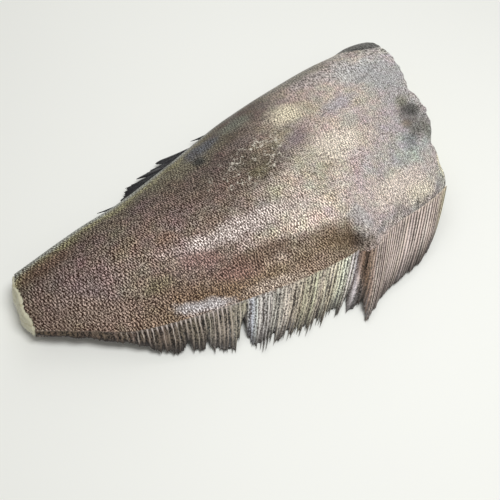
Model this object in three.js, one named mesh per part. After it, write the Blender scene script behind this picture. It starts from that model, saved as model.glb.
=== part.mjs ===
// A headless, tailless Greenland halibut, skin and fins on, lying on its blind side.
// Millimetres: X runs from the tail cut to the head cut, -Y is the anal fin's side, +Y the dorsal fin's,
// and Z is up from the surface that the fish rests on.
import * as THREE from 'three';

// The cuts, as X at the anal and at the dorsal edge
const TAIL_CUT = { anal: -181, dorsal: -175, bulge: 3, ripple: 0.6, ripples: 2.5 };
const HEAD_CUT = { anal: 129.5, dorsal: 186 };

// Scallops that the knife left in the head cut, as shares of its width, and its worn dorsal corner
const HEAD_SCALLOPS = [
  { from: 0, to: 0.2, depth: 3.5 },
  { from: 0.2, to: 0.49, depth: 8.5 },
  { from: 0.49, to: 0.93, depth: 5.6 },
];
const HEAD_CORNER = { from: 0.9, depth: 15 };

// Edges of the body where the fins root, as Y along X; the belly flap starts at the fold
const FOLD = { x: 35.5, run: 11 };
const ANAL_EDGE = [[-181, -1], [-152, -21], [-127, -38.5], [-84, -53], [-12, -68], [45, -71.5]];
const BELLY_EDGE = [[36, -82], [63, -73.5], [80, -69.5], [112, -68], [129.5, -62]];
const DORSAL_EDGE = [
  [-175, 46.5], [-123, 56.5], [-88, 60.5], [-33, 73.5], [15, 86.5],
  [71, 96], [112, 101.5], [146, 103.5], [160, 107.5], [171, 107],
];

// Heights: the back's crest along X, the fin roots, and how thick a fin is at its root and at its rim
const CREST = [[-184, 25], [-110, 34], [-30, 41], [50, 45], [110, 43], [182, 37]];
const ANAL_ROOT = 10;
const BELLY_ROOT = [[36, 17], [80, 15], [129.5, 12]];
const DORSAL_ROOT = 11;
const FIN_ROOT_THICK = 4.4;
const FIN_RIM_THICK = 1.2;
const FIN_RIM_HEIGHT = 1.6;

// Section of the body: the flank's steepness above the anal fin, how far the back falls towards it,
// the roundness of the dorsal side, the rounding of the flank's shoulder, and the belly's turn-up
const FLANK_STEEPNESS = [[-181, 0.9], [-97, 0.6], [-50, 0.56], [-6, 0.72], [40, 1.05]];
const BELLY_STEEPNESS = [[36, 0.52], [129.5, 0.42]];
const BACK_FALL = 0.16;
const DORSAL_ROUNDNESS = [[-175, 2.3], [60, 2.2], [181, 1.7]];
const SHOULDER_ROUNDING = 7;
const UNDERSIDE_TURN = { anal: 26, dorsal: 18, power: 1.7 };
const NAPE_DENT = { x: 146, y: -2.5, radius: 17, depth: 5 };

// Fins: ray length along X, backward sweep in degrees, and the ray's relief and web
const ANAL_FIN = {
  length: [
    [-181, 1.5], [-150, 5], [-127, 7], [-110, 16], [-84, 23], [-52, 31],
    [-12, 38], [30, 42], [64, 51], [100, 47], [129.5, 41],
  ],
  sweep: [[-181, 30], [-84, 31], [-52, 36], [-12, 45], [30, 48], [129.5, 49]],
};
const DORSAL_FIN = {
  length: [
    [-175, 1], [-135, 14], [-97, 38], [-68, 35], [-54, 25], [-26, 38], [4, 46], [15, 21], [46, 21], [182, 5],
  ],
  sweep: [[-175, 68], [-97, 75], [80, 75], [182, 60]],
};
const RAY_RELIEF = { height: 0.5, rootPhase: 0.1, rimPhase: 0.85 };
const WEB_SHARE = 0.94;
const RAGGED = { share: 0.05, seed: 20 };

// Tears in the anal fin: where they start along its root, their half-width, and the share of ray left
const TEARS = [
  { x: -98, half: 2.6, left: 0.6 },
  { x: -85, half: 2.6, left: 0.64 },
  { x: -56, half: 4, left: 0.34 },
  { x: 33, half: 2.6, left: 0.74 },
];

// Grid of the surface: rays along the length, and steps across the body and each fin
const RAYS = 62;
const BODY_STEPS = 13;
const ANAL_STEPS = 4;
const DORSAL_STEPS = 2;
const EDGE_CROWDING = 0.5;

// Linear congruential draws
const DRAWS = { factor: 1664525, step: 1013904223, modulus: 4294967296 };

const SKIN = { color: 0x8d7f75, roughness: 0.42, metalness: 0 };

const { clamp, lerp, smoothstep, degToRad } = THREE.MathUtils;

// Smooth value at x through [x, value] stations, by cubic arcs that share slopes at the stations
function along(stations, x) {
  const last = stations.length - 1;
  const at = (i) => stations[clamp(i, 0, last)];
  const slope = (i) => (at(i + 1)[1] - at(i - 1)[1]) / (at(i + 1)[0] - at(i - 1)[0]);
  const found = stations.findIndex(([start]) => start > x);
  const i = clamp(found < 0 ? last - 1 : found - 1, 0, last - 1);
  const run = at(i + 1)[0] - at(i)[0];
  const t = clamp((x - at(i)[0]) / run, 0, 1);
  const start = at(i)[1] + t * t * (3 - 2 * t) * (at(i + 1)[1] - at(i)[1]);
  return start + run * t * (1 - t) * ((1 - t) * slope(i) - t * slope(i + 1));
}

// The smaller of two heights, with the corner between them rounded
function roundedMinimum(a, b, rounding) {
  const share = clamp(0.5 + (b - a) / (2 * rounding), 0, 1);
  return lerp(b, a, share) - rounding * share * (1 - share);
}

// Seeded draws between -1 and 1
function seededDraws(seed) {
  let state = seed;
  return () => {
    state = (state * DRAWS.factor + DRAWS.step) % DRAWS.modulus;
    return 2 * state / DRAWS.modulus - 1;
  };
}

// X of the tail cut and of the head cut at a share of the width, from the anal to the dorsal edge
function tailCutX(share) {
  const bulge = TAIL_CUT.bulge * Math.sin(Math.PI * share);
  const ripple = TAIL_CUT.ripple * Math.sin(2 * Math.PI * TAIL_CUT.ripples * share);
  return lerp(TAIL_CUT.anal, TAIL_CUT.dorsal, share) - bulge + ripple;
}

function headCutX(share) {
  const scallops = HEAD_SCALLOPS.filter(({ from, to }) => share > from && share < to)
    .reduce((sum, { from, to, depth }) => sum + depth * Math.sin(Math.PI * (share - from) / (to - from)), 0);
  const corner = clamp((share - HEAD_CORNER.from) / (1 - HEAD_CORNER.from), 0, 1);
  return lerp(HEAD_CUT.anal, HEAD_CUT.dorsal, share) + scallops - HEAD_CORNER.depth * corner * corner;
}

function cutToCutX(station, share) {
  return lerp(tailCutX(share), headCutX(share), station);
}

// Everything about one cross-station of the body, a share of the way from the tail cut to the head cut
function sectionAt(station) {
  const analX = cutToCutX(station, 0);
  const dorsalX = cutToCutX(station, 1);
  const belly = smoothstep(analX, FOLD.x, FOLD.x + FOLD.run);
  return {
    station,
    analX,
    dorsalX,
    analY: lerp(along(ANAL_EDGE, analX), along(BELLY_EDGE, analX), belly),
    dorsalY: along(DORSAL_EDGE, dorsalX),
    analZ: lerp(ANAL_ROOT, along(BELLY_ROOT, analX), belly),
    steepness: lerp(along(FLANK_STEEPNESS, analX), along(BELLY_STEEPNESS, analX), belly),
  };
}

// A point of the body's upper skin (side 1) or underside (side -1) at a share of the section's width
function bodyPoint(section, share, side) {
  const x = cutToCutX(section.station, share);
  const y = lerp(section.analY, section.dorsalY, share);
  const width = section.dorsalY - section.analY;
  const fromAnal = share * width;
  const fromDorsal = width - fromAnal;
  if (side < 0) {
    const analTurn = clamp(1 - fromAnal / UNDERSIDE_TURN.anal, 0, 1) ** UNDERSIDE_TURN.power;
    const dorsalTurn = clamp(1 - fromDorsal / UNDERSIDE_TURN.dorsal, 0, 1) ** UNDERSIDE_TURN.power;
    const analRise = (section.analZ - FIN_ROOT_THICK / 2) * analTurn;
    return new THREE.Vector3(x, y, analRise + (DORSAL_ROOT - FIN_ROOT_THICK / 2) * dorsalTurn);
  }
  const crest = along(CREST, x);
  const offCrest = 2 * share - 1;
  const dorsalEdge = DORSAL_ROOT + FIN_ROOT_THICK / 2;
  const roundness = along(DORSAL_ROUNDNESS, x);
  const roundSide = (1 - clamp(offCrest, 0, 1) ** roundness) ** (1 / roundness);
  const back = offCrest < 0 ? crest * (1 - BACK_FALL * offCrest ** 2) : lerp(dorsalEdge, crest, roundSide);
  const flank = section.analZ + FIN_ROOT_THICK / 2 + section.steepness * fromAnal;
  const fromDent = Math.hypot(x - NAPE_DENT.x, y - NAPE_DENT.y) / NAPE_DENT.radius;
  const dent = NAPE_DENT.depth * Math.exp(-(fromDent ** 2));
  return new THREE.Vector3(x, y, roundedMinimum(flank, back, SHOULDER_ROUNDING) - dent);
}

// A point of a fin: reach runs from 0 at the root to 1 at the rim, and ridge is 1 on a ray, -1 on a web
function finPoint(root, fin, outward, reach, side, ridge, rayShare) {
  const sweep = degToRad(along(fin.sweep, root.x));
  const length = along(fin.length, root.x) * rayShare * reach;
  const middle = lerp(root.z, FIN_RIM_HEIGHT, reach);
  const phase = Math.PI * lerp(RAY_RELIEF.rootPhase, RAY_RELIEF.rimPhase, reach);
  const half = lerp(FIN_ROOT_THICK, FIN_RIM_THICK, reach) / 2 + ridge * RAY_RELIEF.height * Math.sin(phase);
  const x = root.x - length * Math.sin(sweep);
  const y = root.y + outward * length * Math.cos(sweep);
  return new THREE.Vector3(x, y, middle + side * half);
}

// Share of a ray's full length that is left at a place along the anal fin's root
function tornShare(x) {
  return TEARS.reduce((share, { x: tear, half, left }) => (
    share * (1 - (1 - left) * Math.exp(-(((x - tear) / half) ** 2)))
  ), 1);
}

// One closed ring of points round a station: over the top from the anal rim to the dorsal rim, and back under
function ringAt(station, ridge, draw) {
  const section = sectionAt(station);
  const web = ridge > 0 ? 1 : WEB_SHARE;
  const analShare = web * (1 + RAGGED.share * draw()) * tornShare(section.analX);
  const dorsalShare = web * (1 + RAGGED.share * draw());
  const analRoot = new THREE.Vector3(section.analX, section.analY, section.analZ);
  const dorsalRoot = new THREE.Vector3(section.dorsalX, section.dorsalY, DORSAL_ROOT);
  const halfRing = (side) => {
    const points = [];
    for (let i = ANAL_STEPS; i > 0; i -= 1) {
      points.push(finPoint(analRoot, ANAL_FIN, -1, i / ANAL_STEPS, side, ridge, analShare));
    }
    for (let i = 0; i <= BODY_STEPS; i += 1) {
      const even = i / BODY_STEPS;
      const crowded = (1 - Math.cos(Math.PI * even)) / 2;
      points.push(bodyPoint(section, lerp(even, crowded, EDGE_CROWDING), side));
    }
    for (let i = 1; i <= DORSAL_STEPS; i += 1) {
      points.push(finPoint(dorsalRoot, DORSAL_FIN, 1, i / DORSAL_STEPS, side, ridge, dorsalShare));
    }
    return points;
  };
  return [...halfRing(1), ...halfRing(-1).reverse()];
}

// Skin through all the rings, closed by a ladder of triangles across each cut
function trunkGeometry() {
  const draw = seededDraws(RAGGED.seed);
  const stations = 2 * RAYS;
  const rings = [];
  for (let i = 0; i <= stations; i += 1) {
    rings.push(ringAt(i / stations, i % 2 === 0 ? 1 : -1, draw));
  }
  const around = rings[0].length;
  const index = [];
  const quad = (a, b, c, d) => index.push(a, b, c, a, c, d);
  for (let i = 0; i < rings.length - 1; i += 1) {
    for (let j = 0; j < around; j += 1) {
      const next = (j + 1) % around;
      quad(i * around + j, (i + 1) * around + j, (i + 1) * around + next, i * around + next);
    }
  }
  const head = (rings.length - 1) * around;
  for (let j = 0; j < around / 2 - 1; j += 1) {
    const below = around - 1 - j;
    quad(j, j + 1, below - 1, below);
    quad(head + j + 1, head + j, head + below, head + below - 1);
  }
  const geometry = new THREE.BufferGeometry();
  geometry.setFromPoints(rings.flat());
  geometry.setIndex(index);
  geometry.computeVertexNormals();
  return geometry;
}

const trunk = new THREE.Mesh(trunkGeometry(), new THREE.MeshStandardMaterial(SKIN));
trunk.name = 'halibut_trunk';

const halibut = new THREE.Group();
halibut.add(trunk);

export default halibut;
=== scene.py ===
"""A headless Greenland halibut lying on its blind side: wet scaled skin, rayed fins and two cut faces.

The fish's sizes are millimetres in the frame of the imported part, and the finished meshes are metres.
X runs from the tail cut to the head cut, -Y is the anal fin's side, +Y the dorsal fin's, and Z is up.
"""

import logging
import math
from abc import ABC, abstractmethod
from dataclasses import dataclass, field
from enum import Enum
from functools import cached_property, reduce

import bpy
import numpy as np
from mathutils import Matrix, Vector


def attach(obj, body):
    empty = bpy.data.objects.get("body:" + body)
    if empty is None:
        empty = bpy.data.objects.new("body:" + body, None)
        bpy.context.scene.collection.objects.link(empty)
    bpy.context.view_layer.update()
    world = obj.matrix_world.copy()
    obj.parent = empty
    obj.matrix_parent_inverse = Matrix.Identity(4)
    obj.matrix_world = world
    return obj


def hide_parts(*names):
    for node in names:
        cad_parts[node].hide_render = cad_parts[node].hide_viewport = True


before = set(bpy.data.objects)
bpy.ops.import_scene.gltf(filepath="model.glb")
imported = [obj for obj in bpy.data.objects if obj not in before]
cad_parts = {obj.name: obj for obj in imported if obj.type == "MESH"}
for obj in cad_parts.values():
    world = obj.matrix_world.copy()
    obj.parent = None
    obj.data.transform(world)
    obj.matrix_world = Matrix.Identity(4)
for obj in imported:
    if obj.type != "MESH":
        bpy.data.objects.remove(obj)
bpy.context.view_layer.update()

log = logging.getLogger("halibut")

Array = np.ndarray
Stations = tuple[tuple[float, float], ...]
Colour = tuple[float, float, float]
Socket = bpy.types.NodeSocket
Sockets = bpy.types.bpy_prop_collection
Value = Socket | float | Colour

MM = 0.001
TURN = 2.0 * math.pi
TINY = 1e-9
BODY = "root"
NODE = "halibut_trunk"


class Side(Enum):
    """The two faces of the fish as it lies."""

    UPPER = 1
    UNDER = -1


class Edge(Enum):
    """The two edges of the body that carry a fin; the value is the sign of outward Y."""

    ANAL = -1
    DORSAL = 1

    @property
    def distance(self) -> str:
        """Name of the skin's attribute that holds the distance from this edge."""
        return f"from_{self.name.lower()}"


class Cut(Enum):
    """The two ends where the knife went; the value is the station, the sign of outward X follows it."""

    TAIL = 0
    HEAD = 1

    @property
    def outward(self) -> int:
        """Sign of the X direction that leaves the fish at this cut."""
        return 1 if self is Cut.HEAD else -1


class Slot(Enum):
    """The record's material slots."""

    SKIN = "skin"
    FIN = "fin"
    FLESH = "flesh"


def ease(low: float, high: float, x: Array) -> Array:
    """Smooth step: 0 up to low, 1 from high, and 3t^2 - 2t^3 between them.

    Args:
        low: Where the step starts.
        high: Where the step ends.
        x: Places to evaluate.

    Returns:
        The step's height at each place.
    """
    t = np.clip((x - low) / (high - low), 0.0, 1.0)
    return t * t * (3.0 - 2.0 * t)


def blend(a: Array, b: Array, share: Array) -> Array:
    """Straight mix: a where share is 0, b where it is 1."""
    return a + (b - a) * share


def rounded_minimum(a: Array, b: Array, rounding: float) -> Array:
    """The smaller of two heights, with a parabola of the given size in place of the corner.

    Args:
        a: First height.
        b: Second height.
        rounding: Height over which the two run together.

    Returns:
        The rounded minimum.
    """
    share = np.clip(0.5 + (b - a) / (2.0 * rounding), 0.0, 1.0)
    return blend(b, a, share) - rounding * share * (1.0 - share)


def lattice_noise(x: Array, y: Array, pitch: float, seed: int, size: int = 64) -> Array:
    """Soft noise from -1 to 1: seeded draws on a square lattice, joined by smooth steps.

    Args:
        x: First coordinate.
        y: Second coordinate.
        pitch: Distance between lattice points.
        seed: Seed of the draws.
        size: Lattice points before the draws repeat.

    Returns:
        The noise at each place.
    """
    draws = np.random.default_rng(seed).uniform(-1.0, 1.0, (size, size))
    gx, gy = np.broadcast_arrays(np.asarray(x) / pitch, np.asarray(y) / pitch)
    ix, iy = np.floor(gx).astype(int), np.floor(gy).astype(int)
    fx, fy = ease(0.0, 1.0, gx - ix), ease(0.0, 1.0, gy - iy)
    near = blend(draws[ix % size, iy % size], draws[(ix + 1) % size, iy % size], fx)
    far = blend(draws[ix % size, (iy + 1) % size], draws[(ix + 1) % size, (iy + 1) % size], fx)
    return blend(near, far, fy)


@dataclass(frozen=True)
class Run:
    """A size that changes along the fish, given at a few X stations and joined by cubic arcs."""

    stations: Stations

    def at(self, x: Array) -> Array:
        """Cubic Hermite arcs whose slope at a station is that of the chord between its neighbours.

        Args:
            x: Places along the fish.

        Returns:
            The size at each place; beyond the ends it stays as at the end.
        """
        xs, ys = np.array(self.stations).T
        order = np.arange(len(xs))
        ahead, behind = np.minimum(order + 1, len(xs) - 1), np.maximum(order - 1, 0)
        slopes = (ys[ahead] - ys[behind]) / (xs[ahead] - xs[behind])
        i = np.clip(np.searchsorted(xs, x, side="right") - 1, 0, len(xs) - 2)
        run = xs[i + 1] - xs[i]
        t = np.clip((x - xs[i]) / run, 0.0, 1.0)
        chord = ys[i] + t * t * (3.0 - 2.0 * t) * (ys[i + 1] - ys[i])
        return chord + run * t * (1.0 - t) * ((1.0 - t) * slopes[i] - t * slopes[i + 1])


@dataclass(frozen=True)
class Section:
    """Cross-stations of the body: where its edges are, and how steep the flank is over the anal fin."""

    station: Array
    anal_x: Array
    dorsal_x: Array
    anal_y: Array
    dorsal_y: Array
    anal_z: Array
    steepness: Array


@dataclass(frozen=True)
class Scallop:
    """One arc that the knife left in the head cut, in shares of its width."""

    start: float
    end: float
    depth: float


@dataclass(frozen=True)
class Swell:
    """One bell-shaped rise of the eyed side, or a hollow where its height is negative."""

    centre: tuple[float, float]
    radii: tuple[float, float]
    height: float

    def rise(self, x: Array, y: Array) -> Array:
        """Its height at each place: the full height times exp(-r^2), r counted in its radii."""
        off_x, off_y = (x - self.centre[0]) / self.radii[0], (y - self.centre[1]) / self.radii[1]
        return self.height * np.exp(-(off_x**2) - off_y**2)


@dataclass(frozen=True)
class TrunkForm:
    """The body's form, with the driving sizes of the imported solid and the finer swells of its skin."""

    tail_cut: tuple[float, float] = (-181.0, -175.0)
    tail_bulge: float = 3.0
    tail_ripple: float = 0.6
    tail_ripples: float = 2.5
    head_cut: tuple[float, float] = (129.5, 186.0)
    scallops: tuple[Scallop, ...] = (
        Scallop(0.0, 0.2, 3.5), Scallop(0.2, 0.49, 8.5), Scallop(0.49, 0.93, 5.6),
    )
    corner_start: float = 0.9
    corner_depth: float = 18.0
    fold_x: float = 37.5
    fold_run: float = 7.0
    anal_edge: Run = Run(((-181, -1), (-152, -21), (-127, -38.5), (-84, -53), (-12, -68), (45, -71.5)))
    belly_edge: Run = Run(((36, -82), (63, -73.5), (80, -69.5), (112, -68), (129.5, -62)))
    dorsal_edge: Run = Run((
        (-175, 46.5), (-123, 56.5), (-88, 60.5), (-33, 73.5), (15, 86.5),
        (71, 96), (112, 101.5), (146, 103.5), (160, 106.0), (171, 105),
    ))
    crest: Run = Run(((-184, 25), (-110, 34), (-30, 41), (50, 45), (110, 43), (182, 37)))
    anal_root: float = 10.0
    belly_root: Run = Run(((36, 17), (80, 15), (129.5, 12)))
    dorsal_root: float = 11.0
    root_thick: float = 4.4
    flank_steepness: Run = Run(((-181, 0.9), (-97, 0.6), (-50, 0.56), (-6, 0.72), (40, 1.05)))
    belly_steepness: Run = Run(((36, 0.52), (129.5, 0.42)))
    back_fall: float = 0.16
    dorsal_roundness: Run = Run(((-175, 2.3), (60, 2.2), (181, 1.7)))
    shoulder_rounding: float = 7.0
    underside_turn: tuple[float, float] = (26.0, 18.0)
    underside_power: float = 1.7
    nape_dent: Swell = Swell((146.0, -2.5), (17.0, 17.0), -5.0)
    fold_hollow: Swell = Swell((35.0, -64.0), (9.0, 8.0), -3.0)
    flap_bump: Swell = Swell((47.0, -58.0), (8.0, 13.0), 2.5)
    nape_roll: Swell = Swell((128.0, -14.0), (11.0, 18.0), -1.6)
    swell_fade: float = 7.0
    tail_lean: float = 5.0
    tail_lean_reach: float = 16.0

    def cut_x(self, station: Array, share: Array) -> Array:
        """X of a body point: a straight run from the bulged tail cut to the scalloped head cut.

        Args:
            station: Share of the way from the tail cut to the head cut.
            share: Share of the width, from the anal to the dorsal edge.

        Returns:
            X in millimetres.
        """
        share = np.asarray(share, float)
        bulge = self.tail_bulge * np.sin(np.pi * share)
        ripple = self.tail_ripple * np.sin(TURN * self.tail_ripples * share)
        tail = blend(*self.tail_cut, share) - bulge + ripple
        head = blend(*self.head_cut, share)
        for arc in self.scallops:
            part = np.clip((share - arc.start) / (arc.end - arc.start), 0.0, 1.0)
            head = head + arc.depth * np.sin(np.pi * part)
        corner = np.clip((share - self.corner_start) / (1.0 - self.corner_start), 0.0, 1.0)
        return blend(tail, head - self.corner_depth * corner**2, station)

    def section(self, station: Array) -> Section:
        """Edges at each station, stepping out and up from flank to belly flap across the fold.

        Args:
            station: Shares of the way from the tail cut to the head cut.

        Returns:
            The cross-stations.
        """
        station = np.asarray(station, float)
        anal_x, dorsal_x = self.cut_x(station, 0.0), self.cut_x(station, 1.0)
        belly = ease(self.fold_x, self.fold_x + self.fold_run, anal_x)
        return Section(
            station=station,
            anal_x=anal_x,
            dorsal_x=dorsal_x,
            anal_y=blend(self.anal_edge.at(anal_x), self.belly_edge.at(anal_x), belly),
            dorsal_y=self.dorsal_edge.at(dorsal_x),
            anal_z=blend(self.anal_root, self.belly_root.at(anal_x), belly),
            steepness=blend(self.flank_steepness.at(anal_x), self.belly_steepness.at(anal_x), belly),
        )

    def under_z(self, section: Section, share: Array) -> Array:
        """Height of the underside: flat on the surface, and turned up to each fin root by a power curve.

        Args:
            section: Cross-stations.
            share: Shares of the width.

        Returns:
            Heights in millimetres.
        """
        width, half = section.dorsal_y - section.anal_y, self.root_thick / 2.0
        heights = (section.anal_z - half, self.dorsal_root - half)
        edges = zip(heights, (share, 1.0 - share), self.underside_turn)
        return sum(
            height * np.clip(1.0 - off * width / turn, 0.0, 1.0) ** self.underside_power
            for height, off, turn in edges
        )

    def swell(self, x: Array, y: Array, from_anal: Array) -> Array:
        """Sum of the bell-shaped swells, fading out at the anal edge.

        Args:
            x: X of each point.
            y: Y of each point.
            from_anal: Distance of each point from the anal edge.

        Returns:
            Heights in millimetres.
        """
        swells = (self.nape_dent, self.fold_hollow, self.flap_bump, self.nape_roll)
        return sum(swell.rise(x, y) for swell in swells) * ease(0.0, self.swell_fade, from_anal)

    def leaned(self, points: Array) -> Array:
        """Leans the tail cut: points above half height move in from it, the others out, fading along X.

        Args:
            points: Points in millimetres.

        Returns:
            The moved points.
        """
        fade = np.exp(-np.clip(points[..., 0] - self.tail_cut[0], 0.0, None) / self.tail_lean_reach)
        shift = self.tail_lean * (points[..., 2] / self.crest.at(points[..., 0]) - 0.5) * fade
        return points + shift[..., None] * np.array([1.0, 0.0, 0.0])

    def upper_z(self, section: Section, x: Array, y: Array, share: Array) -> Array:
        """Height of the eyed side: the lower of a straight flank and a back that falls as a parabola to
        the anal side and as a superellipse to the dorsal side, plus the swells.

        Args:
            section: Cross-stations.
            x: X of each point.
            y: Y of each point.
            share: Shares of the width.

        Returns:
            Heights in millimetres.
        """
        crest, roundness = self.crest.at(x), self.dorsal_roundness.at(x)
        off_crest = 2.0 * share - 1.0
        round_side = (1.0 - np.clip(off_crest, 0.0, 1.0) ** roundness) ** (1.0 / roundness)
        dorsal_side = blend(self.dorsal_root + self.root_thick / 2.0, crest, round_side)
        back = np.where(off_crest < 0.0, crest * (1.0 - self.back_fall * off_crest**2), dorsal_side)
        from_anal = share * (section.dorsal_y - section.anal_y)
        flank = section.anal_z + self.root_thick / 2.0 + section.steepness * from_anal
        return rounded_minimum(flank, back, self.shoulder_rounding) + self.swell(x, y, from_anal)

    def surface(self, station: Array, share: Array, side: Side) -> Array:
        """Points of one face of the body on a grid of stations and shares.

        Args:
            station: Column of stations.
            share: Row of shares of the width.
            side: Which face.

        Returns:
            Points in millimetres, as stations by shares by 3.
        """
        section = self.section(np.asarray(station, float).reshape(-1, 1))
        share = np.asarray(share, float).reshape(1, -1)
        x = self.cut_x(section.station, share)
        y = blend(section.anal_y, section.dorsal_y, share)
        z = self.upper_z(section, x, y, share) if side is Side.UPPER else self.under_z(section, share)
        return np.stack(np.broadcast_arrays(x, y, z), axis=-1)

    def root(self, station: Array, edge: Edge) -> Array:
        """Points of a fin's root line, in the middle of the body's edge.

        Args:
            station: Stations along the fish.
            edge: Which edge.

        Returns:
            Points in millimetres, as stations by 3.
        """
        section = self.section(station)
        if edge is Edge.ANAL:
            return np.stack([section.anal_x, section.anal_y, section.anal_z], axis=-1)
        height = np.full_like(section.dorsal_x, self.dorsal_root)
        return np.stack([section.dorsal_x, section.dorsal_y, height], axis=-1)


@dataclass
class Shell:
    """Points and faces of one closed surface, with values that its finish reads at the points."""

    points: Array
    faces: list[Array]
    values: dict[str, Array] = field(default_factory=dict)

    def to_object(self, name: str) -> bpy.types.Object:
        """Makes the mesh object at the origin, in metres, with smooth faces.

        Args:
            name: Name of the object.

        Returns:
            The linked object.
        """
        mesh = bpy.data.meshes.new(name)
        corners = np.concatenate([f.ravel() for f in self.faces]).astype(np.int32)
        sizes = np.concatenate([np.full(len(f), f.shape[1]) for f in self.faces])
        starts = np.concatenate([[0], np.cumsum(sizes)[:-1]]).astype(np.int32)
        mesh.vertices.add(len(self.points))
        mesh.vertices.foreach_set("co", (self.points * MM).astype(np.float32).ravel())
        mesh.loops.add(len(corners))
        mesh.loops.foreach_set("vertex_index", corners)
        mesh.polygons.add(len(sizes))
        mesh.polygons.foreach_set("loop_start", starts)
        mesh.update(calc_edges=True)
        mesh.validate()
        mesh.polygons.foreach_set("use_smooth", np.ones(len(sizes), bool))
        for label, value in self.values.items():
            kind, key = ("FLOAT", "value") if value.ndim == 1 else ("FLOAT_VECTOR", "vector")
            mesh.attributes.new(label, kind, "POINT").data.foreach_set(key, value.astype(np.float32).ravel())
        made = bpy.data.objects.new(name, mesh)
        bpy.context.scene.collection.objects.link(made)
        return made


def band_faces(rows: int, around: int) -> Array:
    """Quads between successive closed rows of points, row after row.

    Args:
        rows: Number of rows.
        around: Points in a row; the last joins the first.

    Returns:
        Corner numbers, four to a quad, outward when rows run along X and points run over the top.
    """
    row, place = np.meshgrid(np.arange(rows - 1), np.arange(around), indexing="ij")
    here, after = row * around + place, row * around + (place + 1) % around
    return np.stack([here, here + around, after + around, after], axis=-1).reshape(-1, 4)


def fan_faces(first: int, around: int, pole: int, turned: bool) -> Array:
    """Triangles from one closed row of points to its pole.

    Args:
        first: Number of the row's first point.
        around: Points in the row.
        pole: Number of the pole.
        turned: Whether the fan faces -X instead of +X.

    Returns:
        Corner numbers, three to a triangle.
    """
    here = first + np.arange(around)
    after = first + (np.arange(around) + 1) % around
    middle = np.full(around, pole)
    return np.stack([here, after, middle] if turned else [after, here, middle], axis=-1)


def capped_rows(rows: Array) -> tuple[Array, list[Array]]:
    """Closes a stack of rows by a fan at each end, to a pole in the middle of the end row.

    Args:
        rows: Closed rows of points, as rows by points by 3.

    Returns:
        All points with the two poles last, and the faces.
    """
    count, around = rows.shape[:2]
    total = count * around
    poles = np.stack([rows[0].mean(axis=0), rows[-1].mean(axis=0)])
    first = fan_faces(0, around, total, turned=True)
    last = fan_faces(total - around, around, total + 1, turned=False)
    return np.concatenate([rows.reshape(-1, 3), poles]), [band_faces(count, around), first, last]


def crowded_shares(steps: int, crowding: float = 0.5) -> Array:
    """Shares from 0 to 1, drawn together at both ends by a part of a cosine."""
    even = np.linspace(0.0, 1.0, steps + 1)
    return blend(even, (1.0 - np.cos(np.pi * even)) / 2.0, crowding)


@dataclass
class BodyLoop:
    """The body's closed cross-loops: over the back, round the dorsal lip, under, and round the anal lip."""

    form: TrunkForm
    upper_steps: int = 126
    under_steps: int = 70
    lip_steps: int = 9
    lip_reach: float = 1.2

    @property
    def around(self) -> int:
        """Number of points in a loop."""
        return self.upper_steps + self.under_steps + 2 * self.lip_steps

    def shares(self) -> Array:
        """Share of the width at each point of the loop.

        Returns:
            Shares from the anal to the dorsal edge and back.
        """
        lip = np.ones(self.lip_steps - 1)
        upper, under = crowded_shares(self.upper_steps), crowded_shares(self.under_steps)[::-1]
        return np.concatenate([upper, lip, under, 0.0 * lip])

    def lip(self, station: Array, edge: Edge) -> Array:
        """Half round of the body's edge: from the upper rim outward and down to the under rim.

        Args:
            station: Stations along the fish.
            edge: Which edge.

        Returns:
            Points between the two rims, as stations by steps by 3.
        """
        root = self.form.root(station, edge)[:, None, :]
        angle = np.linspace(0.0, np.pi, self.lip_steps + 1)[1:-1]
        y = root[..., 1] + edge.value * self.lip_reach * np.sin(angle)
        z = root[..., 2] + self.form.root_thick / 2.0 * np.cos(angle)
        x = np.broadcast_to(root[..., 0], y.shape)
        return np.stack([x, y, z], axis=-1)

    def points(self, station: Array) -> Array:
        """Loops at the given stations.

        Args:
            station: Stations along the fish.

        Returns:
            Points in millimetres, as stations by loop by 3.
        """
        upper = self.form.surface(station, crowded_shares(self.upper_steps), Side.UPPER)
        under = self.form.surface(station, crowded_shares(self.under_steps)[::-1], Side.UNDER)
        dorsal, anal = self.lip(station, Edge.DORSAL), self.lip(station, Edge.ANAL)[:, ::-1]
        return np.concatenate([upper, dorsal, under, anal], axis=1)

    def face(self, cut: Cut, reach: Array) -> Array:
        """Rings across a cut: the loop there drawn in to its middle, with X from the knife's curve.

        Args:
            cut: Which cut.
            reach: Share of the loop's size, one for each ring.

        Returns:
            Points in millimetres, as rings by loop by 3.
        """
        rim = self.points(np.array([float(cut.value)]))[0]
        middle, share = rim.mean(axis=0), self.shares()
        reach = np.asarray(reach, float).reshape(-1, 1)
        rings = middle + reach[..., None] * (rim - middle)
        rings[..., 0] = self.form.cut_x(float(cut.value), share.mean() + reach * (share - share.mean()))
        return rings


@dataclass(frozen=True)
class Tone:
    """A colour at a place along the fish."""

    x: float
    colour: Colour


@dataclass(frozen=True)
class Fade:
    """A smooth change from start to end while a reading goes from low to high."""

    low: float
    high: float
    start: float = 0.0
    end: float = 1.0


@dataclass(frozen=True)
class Noise:
    """Soft noise about 0.5: its waves to a unit of place, its octaves and the strength of the finer ones."""

    rate: float
    detail: float = 2.0
    roughness: float = 0.5


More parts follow.
